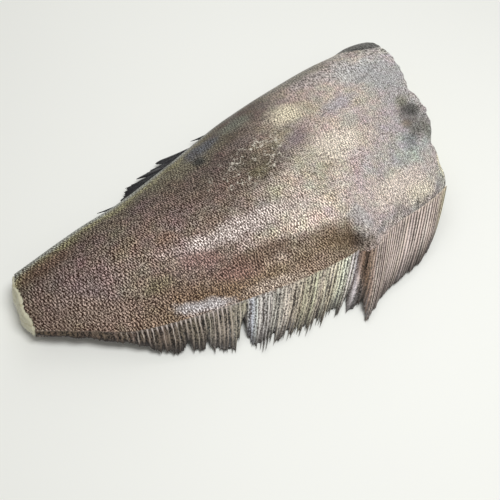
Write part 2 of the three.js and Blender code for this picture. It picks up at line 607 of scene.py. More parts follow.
@dataclass
class Paint:
    """Adds nodes to one node tree and links them, so that a finish reads as a list of steps."""

    tree: bpy.types.NodeTree

    def node(
        self, kind: str, inputs: dict[str | int, Value] | None = None, **settings: object
    ) -> bpy.types.Node:
        """Adds a node.

        Args:
            kind: Node type without the ShaderNode prefix.
            inputs: Sockets to link or values to set, by socket name or number.
            **settings: Properties of the node.

        Returns:
            The node.
        """
        made = self.tree.nodes.new(kind if kind.startswith("Node") else "ShaderNode" + kind)
        for key, value in settings.items():
            setattr(made, key, value)
        for key, value in (inputs or {}).items():
            self.feed(made.inputs[key], value)
        return made

    def feed(self, socket: Socket, value: Value) -> None:
        """Links a socket to an output, or sets it to a constant.

        Args:
            socket: Input to feed.
            value: Output to link, or the constant.
        """
        if isinstance(value, Socket):
            self.tree.links.new(value, socket)
        elif isinstance(value, tuple) and socket.type == "RGBA":
            socket.default_value = (*value, 1.0)
        else:
            socket.default_value = value

    def math(self, operation: str, a: Value, b: Value = 0.0, clamp: bool = False) -> Socket:
        """One step of arithmetic on values."""
        return self.node("Math", {0: a, 1: b}, operation=operation, use_clamp=clamp).outputs[0]

    def product(self, *factors: Value) -> Value:
        """All factors multiplied together."""
        return reduce(lambda a, b: self.math("MULTIPLY", a, b), factors)

    def total(self, *terms: Value) -> Value:
        """All terms added together."""
        return reduce(lambda a, b: self.math("ADD", a, b), terms)

    def swing(self, value: Value, size: Value) -> Socket:
        """A value about 0.5 turned into one about 0, times a size."""
        return self.math("MULTIPLY", self.math("SUBTRACT", value, 0.5), size)

    def wave(self, count: Value) -> Socket:
        """Cosine of a count: 1 where it is whole and -1 halfway between."""
        return self.math("COSINE", self.math("MULTIPLY", count, TURN))

    def vector(self, operation: str, a: Value, b: Value = (0.0, 0.0, 0.0)) -> Socket:
        """One step of arithmetic on vectors."""
        return self.node("VectorMath", {0: a, 1: b}, operation=operation).outputs["Vector"]

    def turned(self, place: Value, angle: Value) -> Socket:
        """A place turned about Z by an angle in radians."""
        return self.node("VectorRotate", {"Vector": place, "Angle": angle}, rotation_type="Z_AXIS").outputs[0]

    def pair(self, x: Value, y: Value) -> Socket:
        """A place of two coordinates."""
        return self.node("CombineXYZ", {"X": x, "Y": y}).outputs[0]

    def band(self, value: Value, low: Value, high: Value, start: Value = 0.0, end: Value = 1.0) -> Socket:
        """A value carried smoothly from the range low..high to start..end."""
        inputs = {"Value": value, "From Min": low, "From Max": high, "To Min": start, "To Max": end}
        return self.node("MapRange", inputs, interpolation_type="SMOOTHSTEP").outputs["Result"]

    def fade(self, value: Value, fade: Fade) -> Socket:
        """A value carried through a fade."""
        return self.band(value, fade.low, fade.high, fade.start, fade.end)

    def mix(self, share: Value, a: Value, b: Value, mode: str = "MIX") -> Socket:
        """Colour a turned towards colour b by a share; the node's colours are inputs 6 and 7 and output 2."""
        inputs = {0: share, 6: a, 7: b}
        return self.node("Mix", inputs, data_type="RGBA", blend_type=mode, clamp_factor=True).outputs[2]

    def tint(self, colour: Value, factor: Value) -> Socket:
        """A colour multiplied by a factor."""
        return self.mix(1.0, colour, factor, "MULTIPLY")

    def noise(self, place: Value, noise: Noise, output: str = "Fac") -> Socket:
        """Soft noise about 0.5 at a place."""
        inputs = {"Vector": place, "Scale": noise.rate, "Detail": noise.detail, "Roughness": noise.roughness}
        return self.node("TexNoise", inputs).outputs[output]

    def group(self, tree: bpy.types.NodeTree, output: str, label: str = "", **inputs: Value) -> Socket:
        """Places a node group and feeds its named inputs.

        Args:
            tree: The group.
            output: Name of the output to use.
            label: What the node is for.
            **inputs: Values of the group's inputs.

        Returns:
            The output's socket.
        """
        made = self.node("Group", label=label, node_tree=tree)
        for key, value in inputs.items():
            self.feed(made.inputs[key], value)
        return made.outputs[output]

    def ramp(self, value: Value, tones: tuple[Tone, ...]) -> Socket:
        """Colour between tones that are set along a value.

        Args:
            value: Place along the fish.
            tones: Tones in order along it.

        Returns:
            The colour's socket.
        """
        first, last = tones[0].x, tones[-1].x
        share = self.node("MapRange", {"Value": value, "From Min": first, "From Max": last}).outputs["Result"]
        made = self.node("ValToRGB", {"Fac": share})
        for tone in tones[1:-1]:
            made.color_ramp.elements.new((tone.x - first) / (last - first))
        for element, tone in zip(made.color_ramp.elements, tones):
            element.color = (*tone.colour, 1.0)
        return made.outputs["Color"]

    @cached_property
    def place(self) -> Socket:
        """The piece's own place in millimetres."""
        inputs = {0: self.node("TexCoord").outputs["Object"], "Scale": 1.0 / MM}
        return self.node("VectorMath", inputs, operation="SCALE").outputs["Vector"]

    @cached_property
    def axes(self) -> Sockets:
        """X, Y and Z of the piece's own place."""
        return self.node("SeparateXYZ", {0: self.place}).outputs

    def reading(self, name: str, output: str = "Fac") -> Socket:
        """The piece's own attribute of a name."""
        return self.node("Attribute", attribute_name=name, attribute_type="GEOMETRY").outputs[output]


def new_group(name: str, inputs: dict[str, str], outputs: dict[str, str]) -> tuple[Paint, Sockets, Sockets]:
    """Starts a shader node group with named sockets.

    Args:
        name: Name of the group.
        inputs: Socket kinds of the inputs by name.
        outputs: Socket kinds of the outputs by name.

    Returns:
        The painter of the group's tree, the input node's outputs and the output node's inputs.
    """
    tree = bpy.data.node_groups.new(name, "ShaderNodeTree")
    for way, sockets in (("INPUT", inputs), ("OUTPUT", outputs)):
        for label, kind in sockets.items():
            tree.interface.new_socket(label, in_out=way, socket_type="NodeSocket" + kind)
    paint = Paint(tree)
    return paint, paint.node("NodeGroupInput").outputs, paint.node("NodeGroupOutput").inputs


@dataclass(frozen=True)
class ScaleWave:
    """One wave of the scale rows: the way it runs, in degrees from the fish's axis, its period and weight."""

    turn_deg: float
    period: float
    weight: float


@dataclass
class SharedEffects:
    """Node groups that the finishes use, each built once, when it is first asked for."""

    pools: Noise = Noise(0.035, 3.0)
    pool_edge: Fade = Fade(0.38, 0.62, 0.0, 0.65)
    streaks: Noise = Noise(0.42)
    streak_edge: Fade = Fade(0.35, 0.7, 0.0, 0.35)
    waves: tuple[ScaleWave, ...] = (
        ScaleWave(-20.0, 1.2, 0.85), ScaleWave(18.0, 0.88, 1.25), ScaleWave(90.0, 0.95, 0.3),
    )
    row_noise: Noise = Noise(0.22, 3.0)
    row_waver: float = 2.3
    spot_noise: Noise = Noise(0.09, 4.0, 0.6)
    spot_edge: float = 1.1

    @cached_property
    def film(self) -> bpy.types.NodeTree:
        """Slime and water on the surface: wide pools plus fine streaks.

        Returns:
            A group from a place in millimetres to Film, 0 where dry and 1 where wet.
        """
        paint, given, out = new_group("wet_film", {"Place": "Vector"}, {"Film": "Float"})
        pools = paint.fade(paint.noise(given["Place"], self.pools), self.pool_edge)
        streaks = paint.fade(paint.noise(given["Place"], self.streaks), self.streak_edge)
        paint.feed(out["Film"], paint.total(pools, streaks))
        return paint.tree

    @cached_property
    def scales(self) -> bpy.types.NodeTree:
        """Scales in slanting rows: a weighted mean of cosines of a wavering place, two that cross the rows
        and a faint one along them.

        Returns:
            A group from a place counted in scales to Row, 1 on the middle of a scale and -1 between scales.
        """
        paint, given, out = new_group("scale_rows", {"Place": "Vector"}, {"Row": "Float"})
        wobble = paint.noise(given["Place"], self.row_noise, "Color")
        moved = paint.vector("ADD", paint.vector("MULTIPLY", wobble, (self.row_waver,) * 3), given["Place"])
        weights = sum(wave.weight for wave in self.waves)
        rows = []
        for wave in self.waves:
            angle = math.radians(wave.turn_deg)
            across = (math.cos(angle) / wave.period, math.sin(angle) / wave.period, 0.0)
            count = paint.node("VectorMath", {0: moved, 1: across}, operation="DOT_PRODUCT").outputs["Value"]
            rows.append(paint.product(paint.wave(count), wave.weight / weights))
        paint.feed(out["Row"], paint.total(*rows))
        return paint.tree

    @cached_property
    def spot(self) -> bpy.types.NodeTree:
        """One soft oval patch with a wavering edge: the distance from its centre in radii, plus noise, faded.

        Returns:
            A group from a place, a centre, radii and a turn to Mask, 1 inside and 0 outside.
        """
        sockets = {"Place": "Vector", "Centre": "Vector", "Radii": "Vector"}
        sockets |= {"Turn": "Float", "Waver": "Float", "Soft": "Float"}
        paint, given, out = new_group("soft_spot", sockets, {"Mask": "Float"})
        turned = paint.turned(paint.vector("SUBTRACT", given["Place"], given["Centre"]), given["Turn"])
        shrunk = paint.vector("DIVIDE", turned, given["Radii"])
        distance = paint.node("VectorMath", {0: shrunk}, operation="LENGTH").outputs["Value"]
        waver = paint.swing(paint.noise(given["Place"], self.spot_noise), given["Waver"])
        inner = paint.math("SUBTRACT", self.spot_edge, given["Soft"])
        paint.feed(out["Mask"], paint.band(paint.total(distance, waver), inner, self.spot_edge, 1.0, 0.0))
        return paint.tree

    @cached_property
    def hues(self) -> bpy.types.NodeTree:
        """Mottling: soft noise in each of the three colours, as a factor about 1.

        Returns:
            A group from a place, a rate per millimetre and a depth to Factor, a colour to multiply by.
        """
        sockets = {"Place": "Vector", "Rate": "Float", "Depth": "Float"}
        paint, given, out = new_group("hue_mottle", sockets, {"Factor": "Color"})
        inputs = {"Vector": given["Place"], "Scale": given["Rate"], "Detail": 0.0}
        noise = paint.node("TexNoise", inputs).outputs["Color"]
        inputs = {0: paint.vector("SUBTRACT", noise, (0.5, 0.5, 0.5)), "Scale": given["Depth"]}
        deep = paint.node("VectorMath", inputs, operation="SCALE").outputs[0]
        paint.feed(out["Factor"], paint.vector("ADD", deep, (1.0, 1.0, 1.0)))
        return paint.tree


def new_material(name: str) -> tuple[bpy.types.Material, Paint, bpy.types.Node]:
    """Starts a material.

    Args:
        name: Name of the material.

    Returns:
        The material, the painter of its tree and its surface shader.
    """
    material = bpy.data.materials.new(name)
    material.use_nodes = True
    paint = Paint(material.node_tree)
    paint.tree.nodes.clear()
    shader = paint.node("BsdfPrincipled")
    paint.node("OutputMaterial", {"Surface": shader.outputs[0]})
    return material, paint, shader


@dataclass(frozen=True)
class WetGloss:
    """How a wet surface takes the light: roughness where dry and where wet, specular level and bump."""

    dry: float
    wet: float
    bump: float
    depth: float
    specular: float = 0.5

    def apply(
        self, paint: Paint, shader: bpy.types.Node, colour: Socket, film: Socket, height: Socket
    ) -> None:
        """Feeds a shader its colour, roughness, specular level and relief.

        Args:
            paint: Painter of the material.
            shader: Its shader.
            colour: The finished colour.
            film: Water on the surface, from 0 to 1.
            height: Relief, from 0 to 1.
        """
        paint.feed(shader.inputs["Base Color"], colour)
        paint.feed(shader.inputs["Roughness"], paint.band(film, 0.0, 1.0, self.dry, self.wet))
        shader.inputs["Specular IOR Level"].default_value = self.specular
        inputs = {"Height": height, "Strength": self.bump, "Distance": self.depth * MM}
        paint.feed(shader.inputs["Normal"], paint.node("Bump", inputs).outputs["Normal"])


@dataclass(frozen=True)
class Patch:
    """One place on the skin with a colour laid over it: plan centre, radii, turn and strength. Most are the
    skin's own colours, some are painted shade and painted highlights.
    """

    name: str
    centre: tuple[float, float]
    radii: tuple[float, float]
    turn_deg: float
    colour: Colour
    strength: float
    waver: float = 1.2
    soft: float = 0.85
    height: float = 1e4


@dataclass(frozen=True)
class EdgeBand:
    """A band of colour by one edge of the body: fades with the distance from it and fades along the fish."""

    edge: Edge
    colour: Colour
    across: tuple[Fade, ...]
    along: tuple[Fade, ...]


@dataclass(frozen=True)
class Waver:
    """How an edge wanders: noise about 0, times a size."""

    noise: Noise
    size: float


@dataclass(frozen=True)
class SkinFinish:
    """Wet scaled skin: brown and strongly speckled at the tail, pale and faint towards the nape.

    The ground goes from tone to tone along a slanting line. Pit and mesh are what the colour is multiplied by
    between scales and on them. Places are millimetres and colours are linear.
    """

    effects: SharedEffects
    gloss: WetGloss = WetGloss(dry=0.46, wet=0.26, bump=0.9, depth=0.24, specular=0.11)
    tones: tuple[Tone, ...] = (
        Tone(-190.0, (0.108, 0.078, 0.063)),
        Tone(-60.0, (0.105, 0.075, 0.06)),
        Tone(-20.0, (0.11, 0.082, 0.065)),
        Tone(20.0, (0.325, 0.266, 0.219)),
        Tone(70.0, (0.54, 0.465, 0.405)),
        Tone(130.0, (0.452, 0.428, 0.412)),
        Tone(190.0, (0.452, 0.44, 0.428)),
    )
    blind_tones: tuple[Tone, ...] = (Tone(-90.0, (0.115, 0.094, 0.08)), Tone(60.0, (0.3, 0.26, 0.225)))
    slant: float = 0.75
    drift: Waver = Waver(Noise(0.028, 5.0, 0.62), 70.0)
    # Painted light and shade across the fish: a factor from 1.5 on the near side to 0.7 on the far side,
    # evened out along X towards the nape.
    painted_side_light: Fade = Fade(-20.0, 55.0, 1.5, 0.7)
    painted_side_light_end: Fade = Fade(-20.0, 60.0)
    mottle: tuple[tuple[float, float], ...] = ((0.03, 0.16), (0.1, 0.17), (0.22, 0.08))
    edge_waver: Waver = Waver(Noise(0.06, 3.0), 18.0)
    # Brown of the flank over the anal fin: partly its own brown, partly painted shade of the flank turned
    # from the light.
    flank_brown_and_shade: EdgeBand = EdgeBand(
        Edge.ANAL, (0.13, 0.08, 0.045),
        (Fade(12.0, 34.0, 0.85, 0.0),), (Fade(36.0, 46.0, 1.0, 0.0), Fade(-130.0, -70.0, 0.3, 1.0)),
    )
    olive_rim: EdgeBand = EdgeBand(
        Edge.DORSAL, (0.08, 0.068, 0.04), (Fade(16.0, 38.0, 0.8, 0.0),), (Fade(-60.0, 0.0, 1.0, 0.3),),
    )
    rim_streak: EdgeBand = EdgeBand(
        Edge.DORSAL, (0.16, 0.14, 0.075),
        (Fade(20.0, 27.0, 0.75, 0.0), Fade(6.0, 14.0)), (Fade(-40.0, 30.0, 1.0, 0.0),),
    )
    # Grey band by the far edge at the head end: partly its own grey, partly painted shade on the rounded far
    # edge.
    grey_rim_and_shade: EdgeBand = EdgeBand(
        Edge.DORSAL, (0.14, 0.135, 0.11),
        (Fade(18.0, 44.0, 0.7, 0.0),), (Fade(50.0, 90.0), Fade(115.0, 150.0, 1.0, 0.2)),
    )
    flap_shade: EdgeBand = EdgeBand(
        Edge.ANAL, (0.26, 0.215, 0.19),
        (Fade(3.0, 12.0, 0.35, 0.0),), (Fade(66.0, 90.0), Fade(114.0, 126.0, 1.0, 0.0)),
    )
    rim_waver: Waver = Waver(Noise(0.08, 3.0), 9.0)
    # Pale line by the far edge: partly a pale membrane at the fin root, partly a painted highlight of the wet
    # rim.
    rim_line_and_sheen: EdgeBand = EdgeBand(
        Edge.DORSAL, (0.16, 0.157, 0.137),
        (Fade(13.0, 20.0, 0.85, 0.0), Fade(5.0, 11.0, 0.12, 1.0)), (Fade(20.0, 80.0, 1.0, 0.1),),
    )
    # Painted highlight: a thin pale line along the lower edge of the skin at the tail end.
    lower_edge_highlight: EdgeBand = EdgeBand(
        Edge.ANAL, (0.34, 0.3, 0.25), (Fade(0.6, 2.2, 0.75, 0.0),), (Fade(-138.0, -126.0, 1.0, 0.0),),
    )
    patches: tuple[Patch, ...] = (
        Patch("pale blotch", (56.0, 48.0), (22.0, 15.0), 0.0, (0.75, 0.68, 0.51), 0.8, 1.2, 1.0),
        Patch("cream patch", (70.0, 0.0), (28.0, 18.0), 0.0, (0.74, 0.66, 0.57), 0.75),
        Patch("belly cream", (92.0, -48.0), (46.0, 15.0), 0.0, (0.72, 0.62, 0.55), 0.75),
        Patch("grey nape", (135.0, 62.0), (36.0, 26.0), 0.0, (0.425, 0.43, 0.435), 0.75),
        Patch("back brown", (14.0, 12.0), (36.0, 15.0), 14.0, (0.085, 0.06, 0.046), 0.7),
        Patch("back dusk", (-45.0, 24.0), (38.0, 15.0), -8.0, (0.08, 0.06, 0.046), 0.5),
        # Painted highlight along the shoulder ridge, with a pink tint.
        Patch("ridge pink", (-25.0, -20.0), (70.0, 9.0), -9.0, (0.41, 0.342, 0.31), 0.8),
        Patch("crease", (33.0, -40.0), (14.0, 1.6), -24.0, (0.7, 0.62, 0.52), 0.6, 0.5),
        Patch("foot sheen", (-79.0, -48.0), (29.0, 5.5), -21.0, (0.44, 0.4, 0.4), 0.65, 1.6, 1.1),
        Patch("flank shade", (16.0, -54.0), (36.0, 11.0), -12.0, (0.15, 0.105, 0.061), 0.75, 0.9),
        # Painted shade in the hollow under the belly flap's edge.
        Patch("fold hollow", (41.0, -65.0), (10.0, 5.0), -54.0, (0.06, 0.04, 0.026), 0.8, 0.5, 1.0),
        Patch("fold sheen", (49.0, -56.0), (14.0, 8.0), -58.0, (0.5, 0.48, 0.48), 0.65, 1.0, 0.7),
        Patch("nape grey", (150.0, 40.0), (28.0, 34.0), 0.0, (0.415, 0.42, 0.425), 0.7),
        # Painted shade in the dent at the nape.
        Patch("nape dusk", (138.0, -5.0), (13.0, 24.0), -23.0, (0.14, 0.135, 0.125), 0.8, 0.9, 0.7),
        Patch("nape olive", (144.0, 13.0), (9.0, 6.0), 15.0, (0.2, 0.2, 0.14), 0.6, 1.0),
        # Painted shade in the deepest part of the dent at the nape.
        Patch("nape dent", (147.0, 3.0), (10.0, 8.0), 0.0, (0.07, 0.07, 0.066), 0.75, 1.2),
        Patch("nape edge", (147.0, -15.0), (6.0, 20.0), -22.0, (0.15, 0.135, 0.11), 0.65, 0.8),
        Patch("nape rust", (131.0, -7.0), (8.0, 6.0), 0.0, (0.24, 0.165, 0.105), 0.55, 1.2),
        Patch("nape blue", (124.0, -24.0), (9.0, 8.0), 30.0, (0.15, 0.165, 0.175), 0.6, 1.5),
        Patch("side line", (79.0, 30.0), (6.0, 1.2), 28.0, (0.1, 0.085, 0.09), 0.6, 0.8),
        Patch("dorsal corner", (168.0, 99.0), (28.0, 12.0), -42.0, (0.085, 0.085, 0.078), 0.95, 0.3, 0.3),
        Patch("corner line", (164.0, 91.0), (12.0, 2.0), -42.0, (0.04, 0.04, 0.037), 0.8, 0.5),
        Patch("lilac patch", (96.0, 33.0), (24.0, 9.0), 8.0, (0.37, 0.345, 0.41), 0.6),
        Patch("rosy patch", (100.0, 74.0), (30.0, 12.0), 8.0, (0.325, 0.29, 0.285), 0.65),
        Patch("mint patch", (92.0, 14.0), (12.0, 10.0), 0.0, (0.42, 0.43, 0.37), 0.6),
        Patch("plum patch", (46.0, 20.0), (22.0, 10.0), 25.0, (0.21, 0.165, 0.19), 0.65),
        Patch("moss patch", (23.0, 66.0), (22.0, 9.0), 12.0, (0.15, 0.158, 0.125), 0.75),
        Patch("brown patch", (-28.0, 16.0), (24.0, 8.0), -10.0, (0.125, 0.082, 0.062), 0.5),
        Patch("olive back", (8.0, 11.0), (12.0, 8.0), 0.0, (0.13, 0.12, 0.065), 0.5),
        Patch("maroon patch", (14.0, 42.0), (20.0, 11.0), 0.0, (0.145, 0.11, 0.1), 0.5),
        Patch("olive far", (-18.0, 52.0), (52.0, 13.0), 10.0, (0.12, 0.107, 0.07), 0.6),
        Patch("slate patch", (-12.0, 60.0), (22.0, 10.0), 10.0, (0.06, 0.063, 0.075), 0.8),
        Patch("dark spot", (-22.0, 47.0), (6.5, 6.0), 0.0, (0.02, 0.02, 0.018), 0.9, 0.8),
        Patch("rust spot", (-77.0, 1.0), (10.0, 6.0), 0.0, (0.2, 0.122, 0.085), 0.55),
        Patch("red back", (-63.0, -24.0), (20.0, 8.0), -18.0, (0.17, 0.092, 0.075), 0.6),
        Patch("red flank", (-42.0, -41.0), (24.0, 9.0), -12.0, (0.16, 0.082, 0.066), 0.7),
        # Painted shade on the middle of the flank below the shoulder ridge.
        Patch("flank dusk", (-23.0, -41.0), (31.0, 8.5), -10.0, (0.115, 0.073, 0.05), 0.85, 0.9),
        Patch("flank foot", (-28.0, -60.0), (30.0, 5.5), -14.0, (0.34, 0.27, 0.22), 0.6, 1.0),
        Patch("olive flank", (-97.0, -24.0), (16.0, 7.0), -10.0, (0.1, 0.083, 0.045), 0.55),
        Patch("tail mauve", (-137.0, 0.0), (36.0, 15.0), 0.0, (0.15, 0.108, 0.1), 0.5),
        Patch("tail red", (-155.0, 33.0), (30.0, 10.0), 5.0, (0.09, 0.052, 0.036), 0.7),
        Patch("flap foot", (46.0, -72.0), (7.0, 6.0), 0.0, (0.2, 0.15, 0.125), 0.7, 0.8),
        Patch("belly light", (106.0, -57.0), (20.0, 8.0), 4.0, (0.7, 0.64, 0.52), 0.75),
        Patch("cut cream", (137.0, -47.0), (13.0, 4.2), 71.0, (0.85, 0.8, 0.6), 0.9, 0.5),
        Patch("tail grey", (-140.0, -16.0), (34.0, 11.0), -38.0, (0.185, 0.132, 0.105), 0.7),
    )
    glints: tuple[Patch, ...] = (
        Patch("foot glint", (-78.0, -47.5), (28.0, 4.5), -21.0, (0.5, 0.49, 0.5), 0.38, 1.6, 1.1),
        Patch("fold glint", (49.0, -57.0), (12.0, 6.0), -58.0, (0.42, 0.41, 0.42), 0.2),
        Patch("nape line", (138.0, 50.5), (36.0, 1.6), 21.0, (0.13, 0.125, 0.12), 0.45, 0.4, 0.8),
    )
    ray_turn: float = math.radians(49.0)
    ray_draw: tuple[float, float, float] = (0.75, 0.05, 0.0)
    ray_noise: Noise = Noise(1.0, 3.0, 0.6)
    ray_depth: Fade = Fade(0.35, 0.65, 0.45, 1.25)
    ray_reach: Fade = Fade(4.0, 20.0, 1.0, 0.0)
    ray_start: Fade = Fade(44.0, 54.0)
    row_depth: float = 0.6
    row_noise: Noise = Noise(0.05)
    row_firm: Fade = Fade(0.35, 0.65, 0.5, 1.0)
    row_nape: Fade = Fade(20.0, 110.0, 1.0, 0.95)
    row_tail: Fade = Fade(-175.0, -100.0, 0.75, 1.0)
    dash_turn: float = math.radians(14.0)
    dash: tuple[float, float, float] = (1.25, 0.6, 0.85)
    grain: Noise = Noise(1.5, 1.0, 0.6)
    far_grain: Noise = Noise(0.6, 2.0, 0.7)
    far_across: Fade = Fade(30.0, 75.0)
    far_along: Fade = Fade(20.0, 90.0)
    grain_depth: Fade = Fade(-175.0, -100.0, 2.4, 3.8)
    light_power: float = 2.5
    nape_power: float = 0.5
    # Pale mesh on the scales: partly their own pale colour, partly painted wet glints.
    tail_pit: Colour = (0.14, 0.065, 0.03)
    tail_mesh: Colour = (4.75, 5.2, 5.5)
    nape_pit: Colour = (0.17, 0.155, 0.14)
    nape_mesh: Colour = (2.0, 2.01, 2.02)
    tail_to_nape: Fade = Fade(-90.0, 60.0)
    flank_shift: Fade = Fade(-60.0, -42.0, -40.0, 0.0)
    flank_shift_end: Fade = Fade(28.0, 42.0, 1.0, 0.0)
    curl_noise: Noise = Noise(0.22, 2.0, 0.6)
    curl_line: Fade = Fade(0.012, 0.036, 1.0, 0.0)
    curl_spread: Noise = Noise(0.13)
    curl_places: Fade = Fade(0.5, 0.56)
    curls: Patch = Patch("loose skin", (8.0, 20.0), (42.0, 22.0), 12.0, (0.7, 0.66, 0.56), 0.9, 1.2, 0.5)

    def material(self) -> bpy.types.Material:
        """Builds the material: ground colour along the fish, bands by the edges, patches, then scales.

        Returns:
            The skin material.
        """
        material, paint, shader = new_material("halibut_skin")
        shades = (self.flank_brown_and_shade, self.olive_rim, self.rim_streak, self.grey_rim_and_shade, self.flap_shade)
        colour = self.edged(paint, self.ground(paint), shades, self.edge_waver)
        colour = self.belly_streaks(paint, self.patched(paint, colour, self.patches))
        under = paint.reading("underside")
        colour = paint.mix(under, colour, paint.ramp(paint.axes["X"], self.blind_tones))
        row = paint.group(self.effects.scales, "Row", Place=paint.reading("skin_lie", "Vector"))
        light = self.scale_light(paint, row)
        colour = self.edged(paint, colour, (self.rim_line_and_sheen,), self.rim_waver)
        colour = self.curled(paint, self.speckled(paint, colour, light), under)
        colour = self.edged(paint, colour, (self.lower_edge_highlight,))
        colour = self.patched(paint, colour, self.glints)
        film = paint.group(self.effects.film, "Film", Place=paint.place)
        self.gloss.apply(paint, shader, colour, film, light)
        return material

    def ground(self, paint: Paint) -> Socket:
        """Ground colour along a slanting line from tail to nape, blurred by noise and mottled in hue, with
        painted light and shade across the fish: lighter on the near side, darker on the far side, evened out
        towards the nape.

        Args:
            paint: Painter of the material.

        Returns:
            The colour's socket.
        """
        x, y = paint.axes["X"], paint.axes["Y"]
        drift = paint.swing(paint.noise(paint.place, self.drift.noise), self.drift.size)
        colour = paint.ramp(paint.total(x, paint.product(y, -self.slant), drift), self.tones)
        # Painted light and shade: near side lighter, far side darker, evened out towards the nape.
        side = paint.fade(y, self.painted_side_light)
        evened = paint.product(paint.math("SUBTRACT", 1.0, side), paint.fade(x, self.painted_side_light_end))
        colour = paint.tint(colour, paint.total(side, evened))
        for rate, depth in self.mottle:
            hue = paint.group(self.effects.hues, "Factor", Place=paint.place, Rate=rate, Depth=depth)
            colour = paint.tint(colour, hue)
        return colour

    def edged(
        self, paint: Paint, colour: Socket, bands: tuple[EdgeBand, ...], waver: Waver | None = None,
    ) -> Socket:
        """Bands of colour by the edges: each share is the product of the band's fades.

        Args:
            paint: Painter of the material.
            colour: Colour so far.
            bands: The bands, the last on top.
            waver: How the distance from the edge wanders.

        Returns:
            The colour's socket.
        """
        wander = [paint.swing(paint.noise(paint.place, waver.noise), waver.size)] if waver else []
        for band in bands:
            distance = paint.total(paint.reading(band.edge.distance), *wander)
            shares = [paint.fade(distance, fade) for fade in band.across]
            shares += [paint.fade(paint.axes["X"], fade) for fade in band.along]
            colour = paint.mix(paint.product(*shares), colour, band.colour)
        return colour

    def mask(self, paint: Paint, patch: Patch) -> Socket:
        """Share of a patch's colour at each place.

        Args:
            paint: Painter of the material.
            patch: The patch.

        Returns:
            The share's socket.
        """
        spot = paint.group(
            self.effects.spot, "Mask", patch.name, Place=paint.place, Turn=math.radians(-patch.turn_deg),
            Centre=(*patch.centre, 0.0), Radii=(*patch.radii, patch.height),
            Waver=patch.waver, Soft=patch.soft,
        )
        return paint.product(spot, patch.strength)

    def patched(self, paint: Paint, colour: Socket, patches: tuple[Patch, ...]) -> Socket:
        """Patches laid over the colour.

        Args:
            paint: Painter of the material.
            colour: Colour so far.
            patches: The patches, the last on top.

        Returns:
            The colour's socket.
        """
        for patch in patches:
            colour = paint.mix(self.mask(paint, patch), colour, patch.colour)
        return colour

    def belly_streaks(self, paint: Paint, colour: Socket) -> Socket:
        """Rays that show through the belly flap: noise drawn out along them, fading up from the anal edge.

        Args:
            paint: Painter of the material.
            colour: Colour so far.

        Returns:
            The colour's socket.
        """
        drawn = paint.vector("MULTIPLY", paint.turned(paint.place, self.ray_turn), self.ray_draw)
        streak = paint.fade(paint.noise(drawn, self.ray_noise), self.ray_depth)
        reach = paint.fade(paint.reading(Edge.ANAL.distance), self.ray_reach)
        share = paint.product(reach, paint.fade(paint.axes["X"], self.ray_start))
        return paint.mix(share, colour, paint.tint(colour, streak))

    def scale_light(self, paint: Paint, row: Socket) -> Socket:
        """Light and dark of single scales: the scale rows, firm in places, plus fine noise, to a power.

        Args:
            paint: Painter of the material.
            row: Scale rows.

        Returns:
            Socket of the light, from 0 in a gap to 1 on a bright scale.
        """
        x, y = paint.axes["X"], paint.axes["Y"]
        firm = paint.fade(paint.noise(paint.place, self.row_noise), self.row_firm)
        firm = paint.product(firm, self.row_depth, paint.fade(x, self.row_nape), paint.fade(x, self.row_tail))
        drawn = paint.vector("MULTIPLY", paint.turned(paint.place, self.dash_turn), self.dash)
        fine, coarse = paint.noise(drawn, self.grain), paint.noise(drawn, self.far_grain)
        far = paint.product(paint.fade(y, self.far_across), paint.fade(x, self.far_along))
        fine = paint.total(fine, paint.product(paint.math("SUBTRACT", coarse, fine), far))
        fine = paint.swing(fine, paint.fade(x, self.grain_depth))
        light = paint.math("ADD", paint.product(row, firm), paint.total(fine, 0.5), clamp=True)
        return paint.math("POWER", light, self.light_power)

    def speckled(self, paint: Paint, colour: Socket, light: Socket) -> Socket:
        """The light of the scales as a factor on the colour, strong at the tail and faint at the nape. The
        pale mesh is partly the scales' own pale colour and partly painted wet glints.

        Args:
            paint: Painter of the material.
            colour: Colour so far.
            light: Light of the scales.

        Returns:
            The colour's socket.
        """
        x, y = paint.axes["X"], paint.axes["Y"]
        tail = paint.mix(light, self.tail_pit, self.tail_mesh)
        nape = paint.mix(paint.math("POWER", light, self.nape_power), self.nape_pit, self.nape_mesh)
        flank = paint.product(paint.fade(y, self.flank_shift), paint.fade(x, self.flank_shift_end))
        return paint.tint(colour, paint.mix(paint.fade(paint.total(x, flank), self.tail_to_nape), tail, nape))

    def curled(self, paint: Paint, colour: Socket, under: Socket) -> Socket:
        """Pale curls of loose skin: thin level lines of a soft noise, in some places of a second one.

        Args:
            paint: Painter of the material.
            colour: Colour so far.
            under: 1 on the blind side, which has no curls.

        Returns:
            The colour's socket.
        """
        off = paint.math("ABSOLUTE", paint.math("SUBTRACT", paint.noise(paint.place, self.curl_noise), 0.5))
        some = paint.fade(paint.noise(paint.place, self.curl_spread), self.curl_places)
        eyed = paint.math("SUBTRACT", 1.0, under)
        share = paint.product(paint.fade(off, self.curl_line), some, eyed, self.mask(paint, self.curls))
        return paint.mix(share, colour, self.curls.colour)


@dataclass(frozen=True)
class FinLie:
    """Sockets that the steps of a fin's finish share.

    The reach goes from -1, up the body, over 0 at the root to 1 at the rim. The wave is the cosine of a
    wandering ray number, 1 on a ray and -1 between two; fine and calm are noise drawn out along the rays.
    """

    ray: Socket
    reach: Socket
    root_x: Socket
    drawn: Socket
    fine: Socket
    calm: Socket
    grain: Socket
    wave: Socket


